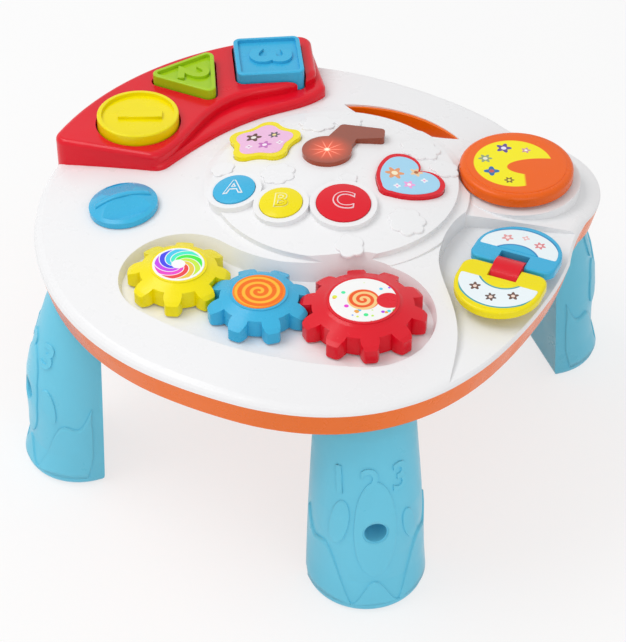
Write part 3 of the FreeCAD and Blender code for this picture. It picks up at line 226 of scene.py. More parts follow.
def grid_faces(rows, columns, closed):
    """Quads of a grid of rows by columns; closed joins the last column to the first."""
    faces = []
    last = columns if closed else columns - 1
    for row in range(rows - 1):
        for column in range(last):
            following = (column + 1) % columns
            faces.append((row * columns + column, row * columns + following,
                          (row + 1) * columns + following, (row + 1) * columns + column))
    return faces


def to_row(matrix, points):
    turn = np.array(matrix.to_3x3())
    shift = np.array(matrix.translation)
    return np.asarray(points) @ turn.T + shift


def circle_of(radius):
    return lambda angles: np.full_like(angles, radius)


PAD_SPOKES = 180
PAD_RINGS = 14
RIM_STEPS = 5


def disc_points(outline, rise, edge, sunk=0.0006, hole=0.0):
    """Flat pad over a closed outline r(angle), with a rounded rim.

    Rings at the height rise shrink the outline towards its middle, and the outermost ones turn
    down by a quarter circle of radius edge. A round hole ends the rings early, and its wall
    drops by the sunk depth.
    """
    angles = np.linspace(0, 2 * np.pi, PAD_SPOKES, endpoint=False)
    reach = outline(angles)
    turns = np.linspace(0, np.pi / 2, RIM_STEPS)
    drawn = [(edge * (1 - np.cos(turn)), rise - edge + edge * np.sin(turn)) for turn in turns]
    rows = [(reach, -sunk)] + [(reach - draw, height) for draw, height in drawn]
    inside = reach - edge
    for share in np.linspace(1, 0, PAD_RINGS)[1:]:
        radius = hole + (inside - hole) * max(share, 0.001)
        rows.append((radius, rise))
    if hole:
        rows.append((np.full_like(angles, hole), -sunk))
    points = [np.stack([radius * np.cos(angles), radius * np.sin(angles), np.full_like(angles, height)], 1)
              for radius, height in rows]
    return np.concatenate(points), grid_faces(len(rows), len(angles), True)


def plate(name, matrix, outline, rise, edge, material, body, lay=None, **shape):
    """Label or pad as disc_points describes it, laid onto a surface if one is given."""
    points, faces = disc_points(outline, rise, edge, **shape)
    if lay is not None:
        points = lay(points)
    return add_piece(name, to_row(matrix, points), faces, material, body)


def letters(name, text, height, rise, matrix, material, body, fatten=0.0, lay=None, sunk=0.0012):
    """Raised lettering: the font's outline given thickness and laid onto a surface."""
    curve = bpy.data.curves.new(name, "FONT")
    curve.body = text
    curve.size = height
    curve.align_x = "CENTER"
    curve.align_y = "CENTER"
    curve.extrude = (rise + sunk) / 2
    curve.offset = fatten
    curve.bevel_depth = 0.00015
    curve.bevel_resolution = 1
    holder = bpy.data.objects.new(name + "_font", curve)
    scene.collection.objects.link(holder)
    bpy.context.view_layer.update()
    mesh = bpy.data.meshes.new_from_object(holder)
    bpy.data.objects.remove(holder)
    points = np.zeros(len(mesh.vertices) * 3)
    mesh.vertices.foreach_get("co", points)
    points = points.reshape(-1, 3)
    points[:, 2] += (rise - sunk) / 2
    if lay is not None:
        points = lay(points)
    mesh.vertices.foreach_set("co", to_row(matrix, points).ravel())
    mesh.materials.clear()
    mesh.materials.append(material)
    piece = bpy.data.objects.new(name, mesh)
    scene.collection.objects.link(piece)
    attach(piece, body)
    return piece


# Printed labels: the art is arithmetic on the place across the label

def print_material(name, centre, turn, art, rough=0.24):
    material, tree, shader = new_material(name)
    x, y = split(tree, place_in(tree, centre, turn))[:2]
    moulded_finish(tree, shader, art(tree, x, y), rough=rough, grain=0.006, shade=0.97)
    return material


def radius_of(x, y):
    return (x * x + y * y).math("SQRT")


def angle_of(x, y):
    """Angle as a share of a full turn, from -0.5 to 0.5."""
    return y.math("ARCTAN2", x) / (2 * math.pi)


def hue(tree, share):
    colour = tree.nodes.new("ShaderNodeCombineColor")
    colour.mode = "HSV"
    put(tree, colour.inputs[0], share)
    colour.inputs[1].default_value = 0.93
    colour.inputs[2].default_value = 0.85
    return Wire(tree, colour.outputs[0])


def step(value, edge, soft):
    return value.ramp(edge - soft, edge + soft)


def pinwheel(tree, x, y):
    """Eight curved blades of colour round a white eye, in a white rim."""
    r = radius_of(x, y)
    blade = (angle_of(x, y) + r * 22.0) * 9.0
    share = blade.math("FRACT")
    colour = hue(tree, (blade.math("FLOOR") / 9.0).math("FRACT"))
    lines = step(share, 0.16, 0.03)
    inked = blend_colours(tree, lines, (0.9, 0.9, 0.9), colour)
    eye = step(r, 0.0052, 0.0003)
    inked = blend_colours(tree, eye, (0.93, 0.93, 0.93), inked)
    return blend_colours(tree, step(r, 0.0178, 0.0003), inked, (0.93, 0.93, 0.93))


def spiral(tree, x, y):
    """Three turns of a yellow spiral on orange."""
    r = radius_of(x, y)
    wave = (angle_of(x, y) - r * 170.0).math("FRACT")
    band = wave.ramp(0.30, 0.42) - wave.ramp(0.72, 0.84)
    inked = blend_colours(tree, band, (0.92, 0.16, 0.0), (0.98, 0.50, 0.03))
    return blend_colours(tree, step(r, 0.0180, 0.0004), inked, (0.96, 0.25, 0.01))


def confetti(tree, x, y):
    """White disc scattered with dots round a red and yellow swirl, cut by a red crescent."""
    r = radius_of(x, y)
    coordinates = tree.nodes.new("ShaderNodeCombineXYZ")
    tree.links.new(x.socket, coordinates.inputs[0])
    tree.links.new(y.socket, coordinates.inputs[1])
    cells = tree.nodes.new("ShaderNodeTexVoronoi")
    cells.inputs["Scale"].default_value = 185.0
    cells.inputs["Randomness"].default_value = 0.8
    tree.links.new(coordinates.outputs[0], cells.inputs["Vector"])
    spot = step(Wire(tree, cells.outputs["Distance"]), 0.36, 0.03)
    tone = tree.nodes.new("ShaderNodeSeparateColor")
    tree.links.new(cells.outputs["Color"], tone.inputs[0])
    kept = step(Wire(tree, tone.outputs[1]), 0.35, 0.02)
    bare = (spot - kept + 1.0).math("MINIMUM", 1.0)
    dots = blend_colours(tree, bare, hue(tree, Wire(tree, tone.outputs[0])), (0.93, 0.93, 0.92))
    wave = (angle_of(x, y) + r * 190.0).math("FRACT")
    swirl = blend_colours(tree, step(wave, 0.5, 0.05), (0.88, 0.10, 0.01), (0.95, 0.62, 0.25))
    inked = blend_colours(tree, step(r, 0.0118, 0.0004), swirl, dots)
    bite = step(radius_of(x - 0.0185, y + 0.001), 0.0088, 0.0003)
    return blend_colours(tree, bite, COLOURS["red"], inked)


def rosette(tree, x, y, at, size, petals, ground, ink, eye):
    """A small flower: r < size * (0.75 + 0.25 cos(petals * angle))."""
    dx = x - at[0]
    dy = y - at[1]
    r = radius_of(dx, dy)
    wave = (angle_of(dx, dy) * (2 * math.pi * petals)).math("COSINE") * (0.22 * size) + 0.76 * size
    inside = (wave - r).ramp(-0.0002, 0.0002)
    flower = blend_colours(tree, inside, ground, ink)
    return blend_colours(tree, step(r, 0.32 * size, 0.0002), eye, flower)


def bouquet(ground, flowers):
    """Art of a plain ground with small flowers on it."""
    def art(tree, x, y):
        inked = ground
        for at, size, petals, ink, eye in flowers:
            inked = rosette(tree, x, y, at, size, petals, inked, ink, eye)
        return inked
    return art


def drum_art(tree, x, y):
    """Yellow crescent on orange, open to the right, with small blossoms.

    The crescent is a disc less an ellipse and less the quarter below and right of it.
    """
    disc = step(radius_of(x + 0.003, y), 0.0310, 0.0004)
    notch_x = (x - 0.020) / 0.028
    notch_y = (y + 0.005) / 0.0115
    notch = step(radius_of(notch_x, notch_y), 1.0, 0.02)
    quarter = step(x, 0.005, 0.0012) * step(y * -1.0, -0.001, 0.0012)
    yellow = (disc * -1.0 + 1.0) * notch * (quarter * -1.0 + 1.0)
    blossoms = bouquet((0.94, 0.84, 0.0), (
        ((-0.009, 0.0205), 0.0066, 5, (0.13, 0.08, 0.30), (0.85, 0.80, 0.95)),
        ((-0.0245, 0.0065), 0.0058, 6, (0.30, 0.38, 0.20), (0.85, 0.85, 0.70)),
        ((-0.0205, -0.0105), 0.0064, 4, (0.03, 0.16, 0.42), (0.60, 0.10, 0.10)),
        ((-0.0075, -0.0225), 0.0042, 6, (0.22, 0.14, 0.02), (0.9, 0.8, 0.1)),
        ((0.0085, 0.0175), 0.0040, 5, (0.62, 0.30, 0.34), (0.95, 0.9, 0.9)),
    ))
    return blend_colours(tree, yellow, COLOURS["drum_orange"], blossoms(tree, x, y))


def kidney_art(ground, line, flowers):
    """White kidney with a coloured outline: points near an arc of radius 25.75 mm about y = 12.25 mm."""
    def art(tree, x, y):
        up = y - 0.01225
        turn = x.math("ARCTAN2", up).math("ABSOLUTE")
        beyond = (turn - 1.14).math("MAXIMUM", 0.0) * 0.02575
        away = radius_of(radius_of(x, up) - 0.02575, beyond)
        wide = turn * turn * -0.0016 + 0.0098
        field = bouquet((0.84, 0.92, 0.95), flowers)(tree, x, y)
        inked = blend_colours(tree, step(away - wide, 0.0, 0.0003), field, line)
        return blend_colours(tree, step(away - wide, 0.0014, 0.0003), inked, ground)
    return art


# Places shared with the solids, in metres

ORIGIN_Y = -0.0055


def mm(x, y, z=0.0):
    return Vector((x / 1000, y / 1000 + ORIGIN_Y, z / 1000))


DOME_MIDDLE = (12.5, 32.5)
DOME_TOP = 228.0
DOME_CURVE = 420
DECK_TOP = 212.5
DECK_CURVE = 1500


def dome_height(x, y):
    """Top of the middle dome: its middle's height less r**2 / (2 * curve)."""
    return DOME_TOP - ((x - DOME_MIDDLE[0]) ** 2 + (y - DOME_MIDDLE[1]) ** 2) / (2 * DOME_CURVE)


def deck_height(x, y):
    """Top of the crowned deck, by the same rule about the table's middle."""
    return DECK_TOP - (x * x + y * y) / (2 * DECK_CURVE)


def frame_at(point, normal, turn=0.0):
    """Matrix with local Z along the normal and local X turned about it."""
    tilt = Vector((0, 0, 1)).rotation_difference(Vector(normal)).to_matrix().to_4x4()
    return Matrix.Translation(point) @ tilt @ Matrix.Rotation(math.radians(turn), 4, "Z")


def on_dome(x, y, turn=0.0):
    away = Vector((x - DOME_MIDDLE[0], y - DOME_MIDDLE[1], DOME_CURVE))
    return frame_at(mm(x, y, dome_height(x, y)), away.normalized(), turn)


def on_deck(x, y, turn=0.0):
    return frame_at(mm(x, y, deck_height(x, y)), Vector((x, y, DECK_CURVE)).normalized(), turn)


LAMP = tuple(mm(-4.7, 49.2, 220.0))

MATERIALS = {
    "white_plastic": moulded("white_plastic", COLOURS["white"], rough=0.30, shade=0.985),
    "orange_plastic": moulded("orange_plastic", COLOURS["rim_orange"]),
    "drum_orange": moulded("drum_orange", COLOURS["drum_orange"]),
    "red_plastic": moulded("red_plastic", COLOURS["red"], rough=0.2),
    "blue_plastic": moulded("blue_plastic", COLOURS["blue"]),
    "leg_blue": moulded("leg_blue", COLOURS["leg_blue"], rough=0.32),
    "yellow_plastic": moulded("yellow_plastic", COLOURS["yellow"]),
    "green_plastic": moulded("green_plastic", COLOURS["green"]),
    "amber_lens": lens_material("amber_lens", (0.27, 0.035, 0.003), (0.85, 0.07, 0.008)),
    "clear_lamp": moulded("clear_lamp", (0.95, 0.85, 0.6), rough=0.1),
    "cell_metal": metal("cell_metal", (0.25, 0.27, 0.32), 0.35),
    "spring_steel": metal("spring_steel", (0.72, 0.71, 0.68), 0.3),
    "pin_steel": metal("pin_steel", (0.62, 0.62, 0.63), 0.32),
    "speaker_steel": metal("speaker_steel", (0.1, 0.1, 0.11), 0.5),
    "board_green": moulded("board_green", (0.02, 0.2, 0.07), rough=0.35),
    "grey_rubber": moulded("grey_rubber", (0.35, 0.35, 0.36), rough=0.6),
    "dark_plastic": moulded("dark_plastic", (0.03, 0.03, 0.035), rough=0.45),
}

slot_of = {part["node"]: part["material_slot"] for part in frame["record"]["subparts"]}
for name, thing in nodes.items():
    thing.data.materials.clear()
    thing.data.materials.append(MATERIALS[slot_of[name]])


# Labels and letters on the gears, the drum and the buttons

INK = {
    "pale": moulded("pale_ink", (0.80, 0.86, 0.90), rough=0.3),
    "pale_yellow": moulded("pale_yellow_ink", (0.93, 0.88, 0.45), rough=0.3),
    "pale_pink": moulded("pale_pink_ink", (0.92, 0.62, 0.66), rough=0.3),
}
SLOTS = {
    "blue": "blue_plastic", "yellow": "yellow_plastic", "red": "red_plastic", "green": "green_plastic",
}
# The prints face the photograph's side of the table
VIEW_TURN = 31.0
BLUE_GEAR = (35.0, -115.5)
TOOTH_PITCH_RADIUS = 4.3
SMALL_TEETH = 8
LARGE_TEETH = 10
YELLOW_BEARING = 183.0
RED_BEARING = 22.0
SMALL_GEAR_TOP = 217.5
LARGE_GEAR_TOP = 219.5
DRUM_PLACE = (125.5, 123.5)
DRUM_LABEL_HEIGHT = 219.57


def polar(middle, radius, degrees):
    turn = math.radians(degrees)
    return middle[0] + radius * math.cos(turn), middle[1] + radius * math.sin(turn)


def flat_at(x, y, z, turn=0.0):
    return Matrix.Translation(mm(x, y, z)) @ Matrix.Rotation(math.radians(turn), 4, "Z")


def add_gear_labels():
    yellow = polar(BLUE_GEAR, 2 * SMALL_TEETH * TOOTH_PITCH_RADIUS, YELLOW_BEARING)
    red = polar(BLUE_GEAR, (SMALL_TEETH + LARGE_TEETH) * TOOTH_PITCH_RADIUS, RED_BEARING)
    labels = (
        ("yellow_gear", yellow, SMALL_GEAR_TOP, 0.0196, pinwheel),
        ("blue_gear", BLUE_GEAR, SMALL_GEAR_TOP, 0.0196, spiral),
        ("red_gear", red, LARGE_GEAR_TOP, 0.0248, confetti),
    )
    for body, middle, top, radius, art in labels:
        centre = tuple(mm(middle[0], middle[1], 0))
        material = print_material(body + "_label", centre, math.radians(VIEW_TURN), art)
        plate(body + "_label", flat_at(*middle, top), circle_of(radius), 0.0005, 0.0003, material, body)


def add_drum_label():
    centre = tuple(mm(*DRUM_PLACE))
    material = print_material("drum_label", centre, math.radians(VIEW_TURN), drum_art, rough=0.2)
    matrix = flat_at(*DRUM_PLACE, DRUM_LABEL_HEIGHT)
    plate("drum_label", matrix, circle_of(0.0395), 0.0003, 0.0002, material, "drum_pad")


def star_outline(scale):
    return lambda angles: scale * (0.027 + 0.003 * np.cos(5 * angles))


def arc_through(first, middle, last, steps=24):
    """Points on the circle through three points, from the first to the last."""
    a, b, c = (complex(*point) for point in (first, middle, last))
    w = (c - a) / (b - a)
    centre = (b - a) * (w - abs(w) ** 2) / (2j * w.imag) + a
    start = np.angle(a - centre)
    sweep = np.angle((c - centre) / (a - centre))
    way = np.angle((b - centre) / (a - centre))
    if sweep * way < 0:
        sweep -= 2 * np.pi * np.sign(sweep)
    turns = start + sweep * np.linspace(0, 1, steps)
    return centre + abs(a - centre) * np.exp(1j * turns)


def heart_outline(scale):
    """r(angle) of the heart button: the same arcs as the solid on both sides, scaled."""
    half = [
        ((0, 16), (16, 24.2), (28.4, 7)),
        ((28.4, 7), (21, -10.5), (6, -23.5)),
        ((6, -23.5), (3.2, -25.4), (0, -26)),
    ]
    right = np.concatenate([arc_through(*corners) for corners in half])
    whole = np.concatenate([right, -right.conj()])
    turns = np.mod(np.angle(whole), 2 * np.pi)
    order = np.argsort(turns)

    def outline(angles):
        return scale * 0.001 * np.interp(angles, turns[order], abs(whole)[order], period=2 * np.pi)
    return outline


def add_picture_labels():
    pink = bouquet((0.85, 0.50, 0.74), (
        ((-0.0085, 0.0060), 0.0068, 5, (0.12, 0.04, 0.03), (0.85, 0.80, 0.75)),
        ((0.0080, 0.0070), 0.0050, 6, (0.10, 0.08, 0.12), (0.9, 0.75, 0.3)),
        ((0.0005, -0.0075), 0.0060, 5, (0.55, 0.15, 0.50), (0.95, 0.85, 0.95)),
        ((-0.0120, -0.0080), 0.0030, 4, (0.90, 0.88, 0.90), (0.6, 0.2, 0.5)),
        ((0.0125, -0.0060), 0.0030, 4, (0.90, 0.88, 0.90), (0.6, 0.2, 0.5)),
    ))
    sky = bouquet((0.38, 0.68, 0.88), (
        ((-0.0080, 0.0050), 0.0078, 6, (0.80, 0.34, 0.16), (0.93, 0.85, 0.6)),
        ((0.0090, 0.0085), 0.0055, 5, (0.86, 0.60, 0.36), (0.45, 0.14, 0.05)),
        ((0.0030, -0.0080), 0.0050, 5, (0.88, 0.38, 0.72), (0.95, 0.9, 0.95)),
        ((-0.0065, -0.0110), 0.0030, 4, (0.92, 0.92, 0.95), (0.85, 0.4, 0.7)),
        ((0.0150, -0.0010), 0.0030, 4, (0.92, 0.92, 0.95), (0.85, 0.4, 0.7)),
    ))
    for body, x, y, turn, outline, art in (
            ("star_button", -58.4, 41.4, 40.5, star_outline(0.80), pink),
            ("heart_button", 64.3, 51.8, -15.5, heart_outline(0.87), sky)):
        centre = tuple(mm(x, y, 0))
        material = print_material(body + "_label", centre, math.radians(VIEW_TURN), art)
        matrix = on_dome(x, y, turn) @ Matrix.Translation((0, 0, 0.0026))
        plate(body + "_label", matrix, outline, 0.0004, 0.0003, material, body)


BUTTON_TOP = 0.007
BUTTON_CROWN = 0.002


def crowned(radius, top):
    """Lays flat points on a cap that rises by the crown over a button of the given radius."""
    ball = (radius ** 2 + BUTTON_CROWN ** 2) / (2 * BUTTON_CROWN)

    def lay(points):
        laid = points.copy()
        laid[:, 2] += top - (points[:, 0] ** 2 + points[:, 1] ** 2) / (2 * ball)
        return laid
    return lay


def add_button_letters():
    buttons = (
        ("button_a", "A", -42.8, -25.9, 0.0167, 0.0205, "pale", "blue"),
        ("button_b", "B", -0.8, -25.7, 0.0167, 0.0205, "pale_yellow", "yellow"),
        ("button_c", "C", 41.1, -3.5, 0.0210, 0.0250, "pale_pink", "red"),
    )
    for body, text, x, y, radius, height, ink, ground in buttons:
        matrix = on_dome(x, y, VIEW_TURN - 6)
        lay = crowned(radius, BUTTON_TOP)
        letters(body + "_letter", text, height, 0.0004, matrix, INK[ink], body, 0.0007, lay)
        piece = letters(body + "_letter_core", text, height, 0.0006, matrix,
                        MATERIALS[SLOTS[ground]], body, -0.0003, lay)


def add_block_numbers():
    blocks = (
        ("circle_block", "1", -161.5, 14.5, 0.046, 0.0020, "yellow"),
        ("triangle_block", "2", -157.5, 87.5, 0.034, 0.0011, "green"),
        ("square_block", "3", -116.5, 141.5, 0.046, 0.0016, "blue"),
    )
    for body, text, x, y, height, fatten, colour in blocks:
        piece = letters(body + "_number", text, height, 0.0024, flat_at(x, y, 227.5, VIEW_TURN - 90),
                        MATERIALS[SLOTS[colour]], body, fatten)


KNOB_PLACE = (-117.5, -70.5, 48.0)
KNOB_TOP = 0.013
KNOB_BALL = 0.0496
GRIP_REACH = 0.0235
GRIP_FOOT = -0.0016


def add_knob_grip():
    """Rounded bar across the knob: z = top - x**2 / (2 * ball) plus the bar's own profile in y."""
    along = np.linspace(-GRIP_REACH, GRIP_REACH, 49)
    across = np.array([-2.6, -2.5, -2.2, -1.4, 0.0, 1.4, 2.2, 2.5, 2.6]) / 1000
    proud = np.array([-1.6, 0.7, 1.3, 1.6, 1.7, 1.6, 1.3, 0.7, -1.6]) / 1000
    ends = np.clip((GRIP_REACH - np.abs(along)) / 0.002, 0, 1) ** 0.5
    x, y = np.meshgrid(along, across, indexing="ij")
    z = KNOB_TOP - x ** 2 / (2 * KNOB_BALL) + GRIP_FOOT + (proud - GRIP_FOOT)[None, :] * ends[:, None]
    points = np.stack([x, y, z], 2).reshape(-1, 3)
    faces = [face[::-1] for face in grid_faces(len(along), len(across), True)]
    piece = add_piece("mode_knob_grip", to_row(on_deck(*KNOB_PLACE), points), faces,
                      MATERIALS["blue_plastic"], "mode_knob")


SEESAW_TURN = 7.0
SEESAW_FALL = -3.0
SEESAW = flat_at(176.5, 10.5, 201.0, SEESAW_TURN)


def half_disc(angles):
    """r(angle) about (0, 31) mm of the disc of radius 30.3 about (0, 20.4), cut off at y = 19.2."""
    drop = 10.6
    along = drop * np.sin(angles)
    disc = -along + np.sqrt(along ** 2 + 30.3 ** 2 - drop ** 2)
    down = np.minimum(np.sin(angles), -1e-6)
    return 0.001 * np.minimum(disc, -11.8 / down)


def add_seesaw_labels():
    pinks = (
        ((-0.013, 0.0335), 0.0048, 5, (0.78, 0.34, 0.34), (0.95, 0.80, 0.80)),
        ((0.013, 0.0335), 0.0048, 6, (0.74, 0.24, 0.26), (0.95, 0.80, 0.80)),
        ((0.0, 0.0385), 0.0032, 4, (0.86, 0.50, 0.50), (0.95, 0.90, 0.90)),
    )
    browns = (
        ((-0.015, 0.0315), 0.0046, 5, (0.16, 0.08, 0.06), (0.92, 0.72, 0.62)),
        ((0.0, 0.0385), 0.0046, 6, (0.14, 0.09, 0.08), (0.92, 0.72, 0.62)),
        ((0.015, 0.0315), 0.0046, 5, (0.16, 0.08, 0.06), (0.92, 0.72, 0.62)),
    )
    sides = (
        ("seesaw_blue", 0.0, COLOURS["blue"], (0.02, 0.24, 0.52), pinks),
        ("seesaw_yellow", 180.0, COLOURS["yellow"], (0.04, 0.36, 0.42), browns),
    )
    centre = tuple(SEESAW.translation)
    for name, turn, ground, line, flowers in sides:
        half = SEESAW @ Matrix.Rotation(math.radians(turn), 4, "Z") @ Matrix.Translation((0, 0, 0.007))
        half = half @ Matrix.Rotation(math.radians(SEESAW_FALL), 4, "X")
        half = half @ Matrix.Translation((0, 0.031, 0.0065))
        material = print_material(name + "_label", centre, math.radians(SEESAW_TURN + turn),
                                  kidney_art(ground, line, flowers))
        plate(name + "_label", half, half_disc, 0.0003, 0.0002, material, "seesaw")


# Relief moulded on the legs

STANCE_MIDDLE = (6.5, 22.5)
LEG_BEARING = 49.764
LEG_PLACES = {
    "leg_front_right": (-LEG_BEARING, 0.0),
    "leg_front_left": (180 + LEG_BEARING, 0.0),
    "leg_back_left": (180 - LEG_BEARING, 10.0),
    "leg_back_right": (LEG_BEARING, 5.0),
}
# A section holds at least this share of the vertices of the fullest one
SECTION_SHARE = 0.7
NARROWEST_HALF = 0.030
FACE_DEPTH = 0.003
RELIEF_ROOT = -0.0015


def leg_matrix(name):
    """The leg's own frame: X outwards, Y across, Z up, on the floor under the stance's middle."""
    degrees, inset = LEG_PLACES[name]
    x, y = polar(STANCE_MIDDLE, -inset, degrees)
    return flat_at(x, y, 0, degrees)


def leg_stations():
    """Heights at which the leg's sections are set, with their inner face, apex and half width."""
    leg = nodes["leg_front_right"].data
    points = np.zeros(len(leg.vertices) * 3)
    leg.vertices.foreach_get("co", points)
    local = to_row(leg_matrix("leg_front_right").inverted(), points.reshape(-1, 3))
    heights, counts = np.unique(np.round(local[:, 2], 4), return_counts=True)
    rows = []
    for height in heights[counts > SECTION_SHARE * counts.max()]:
        ring = local[abs(local[:, 2] - height) < 0.0001]
        rows.append((height, ring[:, 0].min(), ring[:, 0].max(), abs(ring[:, 1]).max()))
    rows = np.array(rows)
    return rows[rows[:, 3] > NARROWEST_HALF]


STATIONS = leg_stations()


def leg_lay(height, across=0.0):
    """Lays flat points (across, up, out) on the outer arc of the leg about a spot."""
    def lay(points):
        z = points[:, 1] + height
        inner, apex, half = (np.interp(z, STATIONS[:, 0], STATIONS[:, column]) for column in (1, 2, 3))
        rise = apex - inner - FACE_DEPTH
        radius = (half ** 2 + rise ** 2) / (2 * rise)
        turn = (points[:, 0] + across) / radius
        out = radius + points[:, 2]
        return np.stack([apex - radius + out * np.cos(turn), out * np.sin(turn), z], 1)
    return lay


def leaf(wide, tall, tilt=0.0):
    """r(angle) of a leaf: an ellipse drawn to soft points at its top and foot."""
    def outline(angles):
        turned = angles - math.radians(tilt)
        ellipse = 1 / np.sqrt((np.cos(turned) / wide) ** 2 + (np.sin(turned) / tall) ** 2)
        return ellipse * (0.93 + 0.07 * np.abs(np.sin(turned)) ** 6)
    return outline


def foot_wave(angle):
    """Height in metres of the scalloped upper edge of the foot relief, by angle round the leg."""
    return 0.017 + 0.062 * np.clip(np.abs(angle) - 0.42, 0, 1.2) ** 0.9 + 0.010 * np.cos(angle * 7.5)


def add_leg_relief():
    colour = MATERIALS["leg_blue"]
    for name in LEG_PLACES:
        matrix = leg_matrix(name)
        made = [
            letters(name + "_numbers", "1 2 3", 0.030, 0.0012, matrix, colour, "table", 0.0004,
                    leg_lay(0.119, -0.003), 0.0016),
            plate(name + "_petal", matrix, leaf(0.0175, 0.044), 0.0013, 0.0009, colour, "table",
                  lay=leg_lay(0.077), hole=0.0098, sunk=0.0015),
            plate(name + "_leaf", matrix, leaf(0.0080, 0.021, -12), 0.0013, 0.0008, colour, "table",
                  lay=leg_lay(0.083, -0.028), sunk=0.0015),
            plate(name + "_small_leaf", matrix, leaf(0.0065, 0.016, 14), 0.0013, 0.0008, colour, "table",
                  lay=leg_lay(0.075, 0.029), sunk=0.0015),
            foot_relief(name, matrix, colour),
        ]


def foot_relief(name, matrix, colour):
    """Raised skirt round the foot with a scalloped upper edge, 1.2 mm proud."""
    spread = np.linspace(-0.066, 0.066, 161)
    shares = np.concatenate([[0.0], np.linspace(0.0, 1.0, 12), [1.0]])
    foot_radius = 0.0452
    top = foot_wave(spread / foot_radius)
    low = 0.0075
    rows = []
    for index, share in enumerate(shares):
        out = np.full_like(spread, 0.0012 if 0 < index < len(shares) - 1 else RELIEF_ROOT)
        out[:2] = RELIEF_ROOT
        out[-2:] = RELIEF_ROOT
        rows.append(np.stack([spread, low + share * (top - low), out], 1))
    points = leg_lay(0.0)(np.concatenate(rows))
    faces = grid_faces(len(shares), len(spread), False)
    return add_piece(name + "_skirt", to_row(matrix, points), faces, colour, "table")


# Low scalloped puffs moulded on the middle dome between the buttons

def puff(radius, lobes, phase):
    """r(angle) of a cloud: the radius drawn in where its rounded lobes meet."""
    return lambda angles: radius * (0.82 + 0.18 * np.abs(np.cos(lobes * angles / 2 + phase)))


def add_dome_puffs():
    """Pads 1.4 mm high that follow the dome: z is the dome's height at (x, y)."""
    places = (
        (-36.0, 87.0, 0.0155, 7, 0.3), (52.0, 99.0, 0.0165, 7, 1.0), (89.0, 11.0, 0.0150, 7, 0.6),
        (66.0, -36.0, 0.0115, 5, 0.2), (-70.0, -2.0, 0.0100, 5, 0.9), (-24.0, 7.0, 0.0140, 7, 0.0),
        (27.5, 27.5, 0.0075, 5, 0.5), (-16.0, 102.0, 0.0120, 5, 0.4), (80.0, 88.0, 0.0120, 5, 0.1),
    )
    for number, (x, y, radius, lobes, phase) in enumerate(places, start=1):
        def lay(points, x=x, y=y):
            laid = points.copy()
            laid[:, 2] += dome_height(x + 1000 * points[:, 0], y + 1000 * points[:, 1]) / 1000
            return laid
        piece = plate(f"dome_puff_{number}", flat_at(x, y, 0), puff(radius, lobes, phase), 0.0014, 0.0009,
                      MATERIALS["white_plastic"], "table", lay=lay)


add_dome_puffs()
add_gear_labels()
add_drum_label()
add_picture_labels()
add_button_letters()
add_knob_grip()
add_block_numbers()
add_seesaw_labels()
add_leg_relief()


# Stage, lights and camera

FLOOR_SIDE = 6.0
FLOOR_HEIGHT = -0.0006
FLOOR_VEIL = 0.72
WORLD_LEVEL = 0.64
LIGHTS_AIM = (0, 0, 0.1)
CAMERA_ELEVATION = 39.8
CAMERA_DISTANCE = 1.650
SENSOR_WIDTH = 36
# The photograph's focal length and its longer side, in pixels
FOCAL_PIXELS = 2200
LONGER_SIDE = 642


def seen_directly(tree):
    """1 where the camera sees a surface, also by way of a reflection or through a clear piece."""
    path = tree.nodes.new("ShaderNodeLightPath")
    mirrored = Wire(tree, path.outputs["Is Glossy Ray"])
    through = Wire(tree, path.outputs["Is Transmission Ray"])
    return Wire(tree, path.outputs["Is Camera Ray"]).math("MAXIMUM", mirrored).math("MAXIMUM", through)


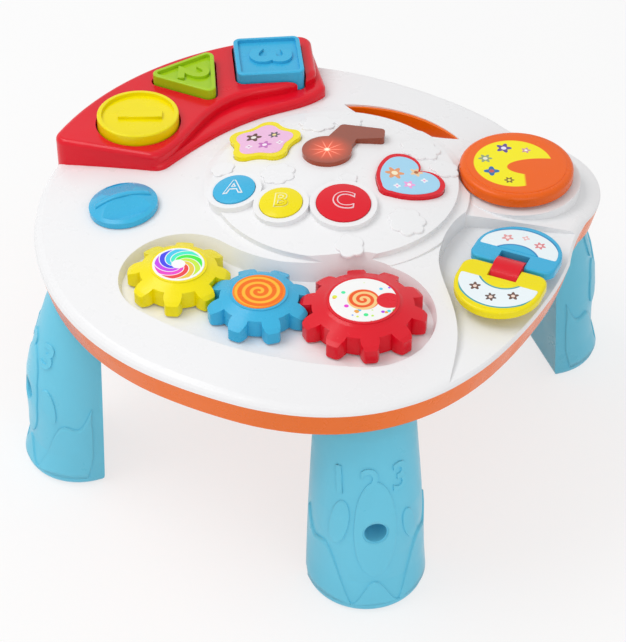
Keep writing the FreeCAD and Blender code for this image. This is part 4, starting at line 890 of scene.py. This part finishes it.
def add_floor():
    signs = ((-1, -1), (1, -1), (1, 1), (-1, 1))
    corners = [(FLOOR_SIDE * x, FLOOR_SIDE * y, FLOOR_HEIGHT) for x, y in signs]
    mesh = bpy.data.meshes.new("floor")
    mesh.from_pydata(corners, [], [(0, 1, 2, 3)])
    floor = bpy.data.objects.new("floor", mesh)
    scene.collection.objects.link(floor)
    material, tree, shader = new_material("floor_paper")
    shade = noise(tree, place_in(tree), 2.0)
    put(tree, shader.inputs["Base Color"], blend_colours(tree, shade, (0.93, 0.93, 0.93), (0.96, 0.96, 0.96)))
    shader.inputs["Roughness"].default_value = 0.8
    shader.inputs["Specular IOR Level"].default_value = 0.1
    # Most of what the camera sees is plain white; the rest keeps the shadow
    veil = seen_directly(tree) * FLOOR_VEIL
    white = tree.nodes.new("ShaderNodeEmission")
    put(tree, white.inputs["Color"], blend_colours(tree, shade, (0.985, 0.985, 0.985), (1.0, 1.0, 1.0)))
    mix = tree.nodes.new("ShaderNodeMixShader")
    tree.links.new(veil.socket, mix.inputs[0])
    tree.links.new(shader.outputs[0], mix.inputs[1])
    tree.links.new(white.outputs[0], mix.inputs[2])
    tree.links.new(mix.outputs[0], tree.nodes["Material Output"].inputs["Surface"])
    mesh.materials.append(material)


def add_world():
    world = bpy.data.worlds.new("studio")
    scene.world = world
    world.use_nodes = True
    tree = world.node_tree
    tree.nodes.clear()
    seen = seen_directly(tree)
    level = tree.nodes.new("ShaderNodeMix")
    level.data_type = "FLOAT"
    tree.links.new(seen.socket, level.inputs[0])
    level.inputs[2].default_value = WORLD_LEVEL
    level.inputs[3].default_value = 1.0
    light = tree.nodes.new("ShaderNodeBackground")
    light.inputs["Color"].default_value = (1, 1, 1, 1)
    tree.links.new(level.outputs[0], light.inputs["Strength"])
    output = tree.nodes.new("ShaderNodeOutputWorld")
    tree.links.new(light.outputs[0], output.inputs["Surface"])


def add_area(name, place, width, power):
    data = bpy.data.lights.new(name, "AREA")
    data.shape = "RECTANGLE"
    data.size = width
    data.size_y = width * 0.7
    data.energy = power
    lamp = bpy.data.objects.new(name, data)
    aim = (Vector(LIGHTS_AIM) - Vector(place)).to_track_quat("-Z", "Y")
    lamp.matrix_world = Matrix.Translation(place) @ aim.to_matrix().to_4x4()
    scene.collection.objects.link(lamp)


def add_camera():
    azimuth = math.radians(VIEW_TURN)
    elevation = math.radians(CAMERA_ELEVATION)
    back = Vector((
        math.sin(azimuth) * math.cos(elevation),
        -math.cos(azimuth) * math.cos(elevation),
        math.sin(elevation),
    ))
    data = bpy.data.cameras.new("camera")
    data.lens = FOCAL_PIXELS * SENSOR_WIDTH / LONGER_SIDE
    data.sensor_width = SENSOR_WIDTH
    camera = bpy.data.objects.new("camera", data)
    target = mm(63.2, -85.3, 180)
    aim = (-back).to_track_quat("-Z", "Y").to_matrix().to_4x4()
    camera.matrix_world = Matrix.Translation(target + back * CAMERA_DISTANCE) @ aim
    scene.collection.objects.link(camera)
    scene.camera = camera


add_floor()
add_world()
add_area("key", (-0.9, -0.5, 1.9), 1.5, 17)
add_area("fill", (1.6, -1.4, 1.3), 1.8, 9)
add_camera()
scene.view_settings.view_transform = "Standard"
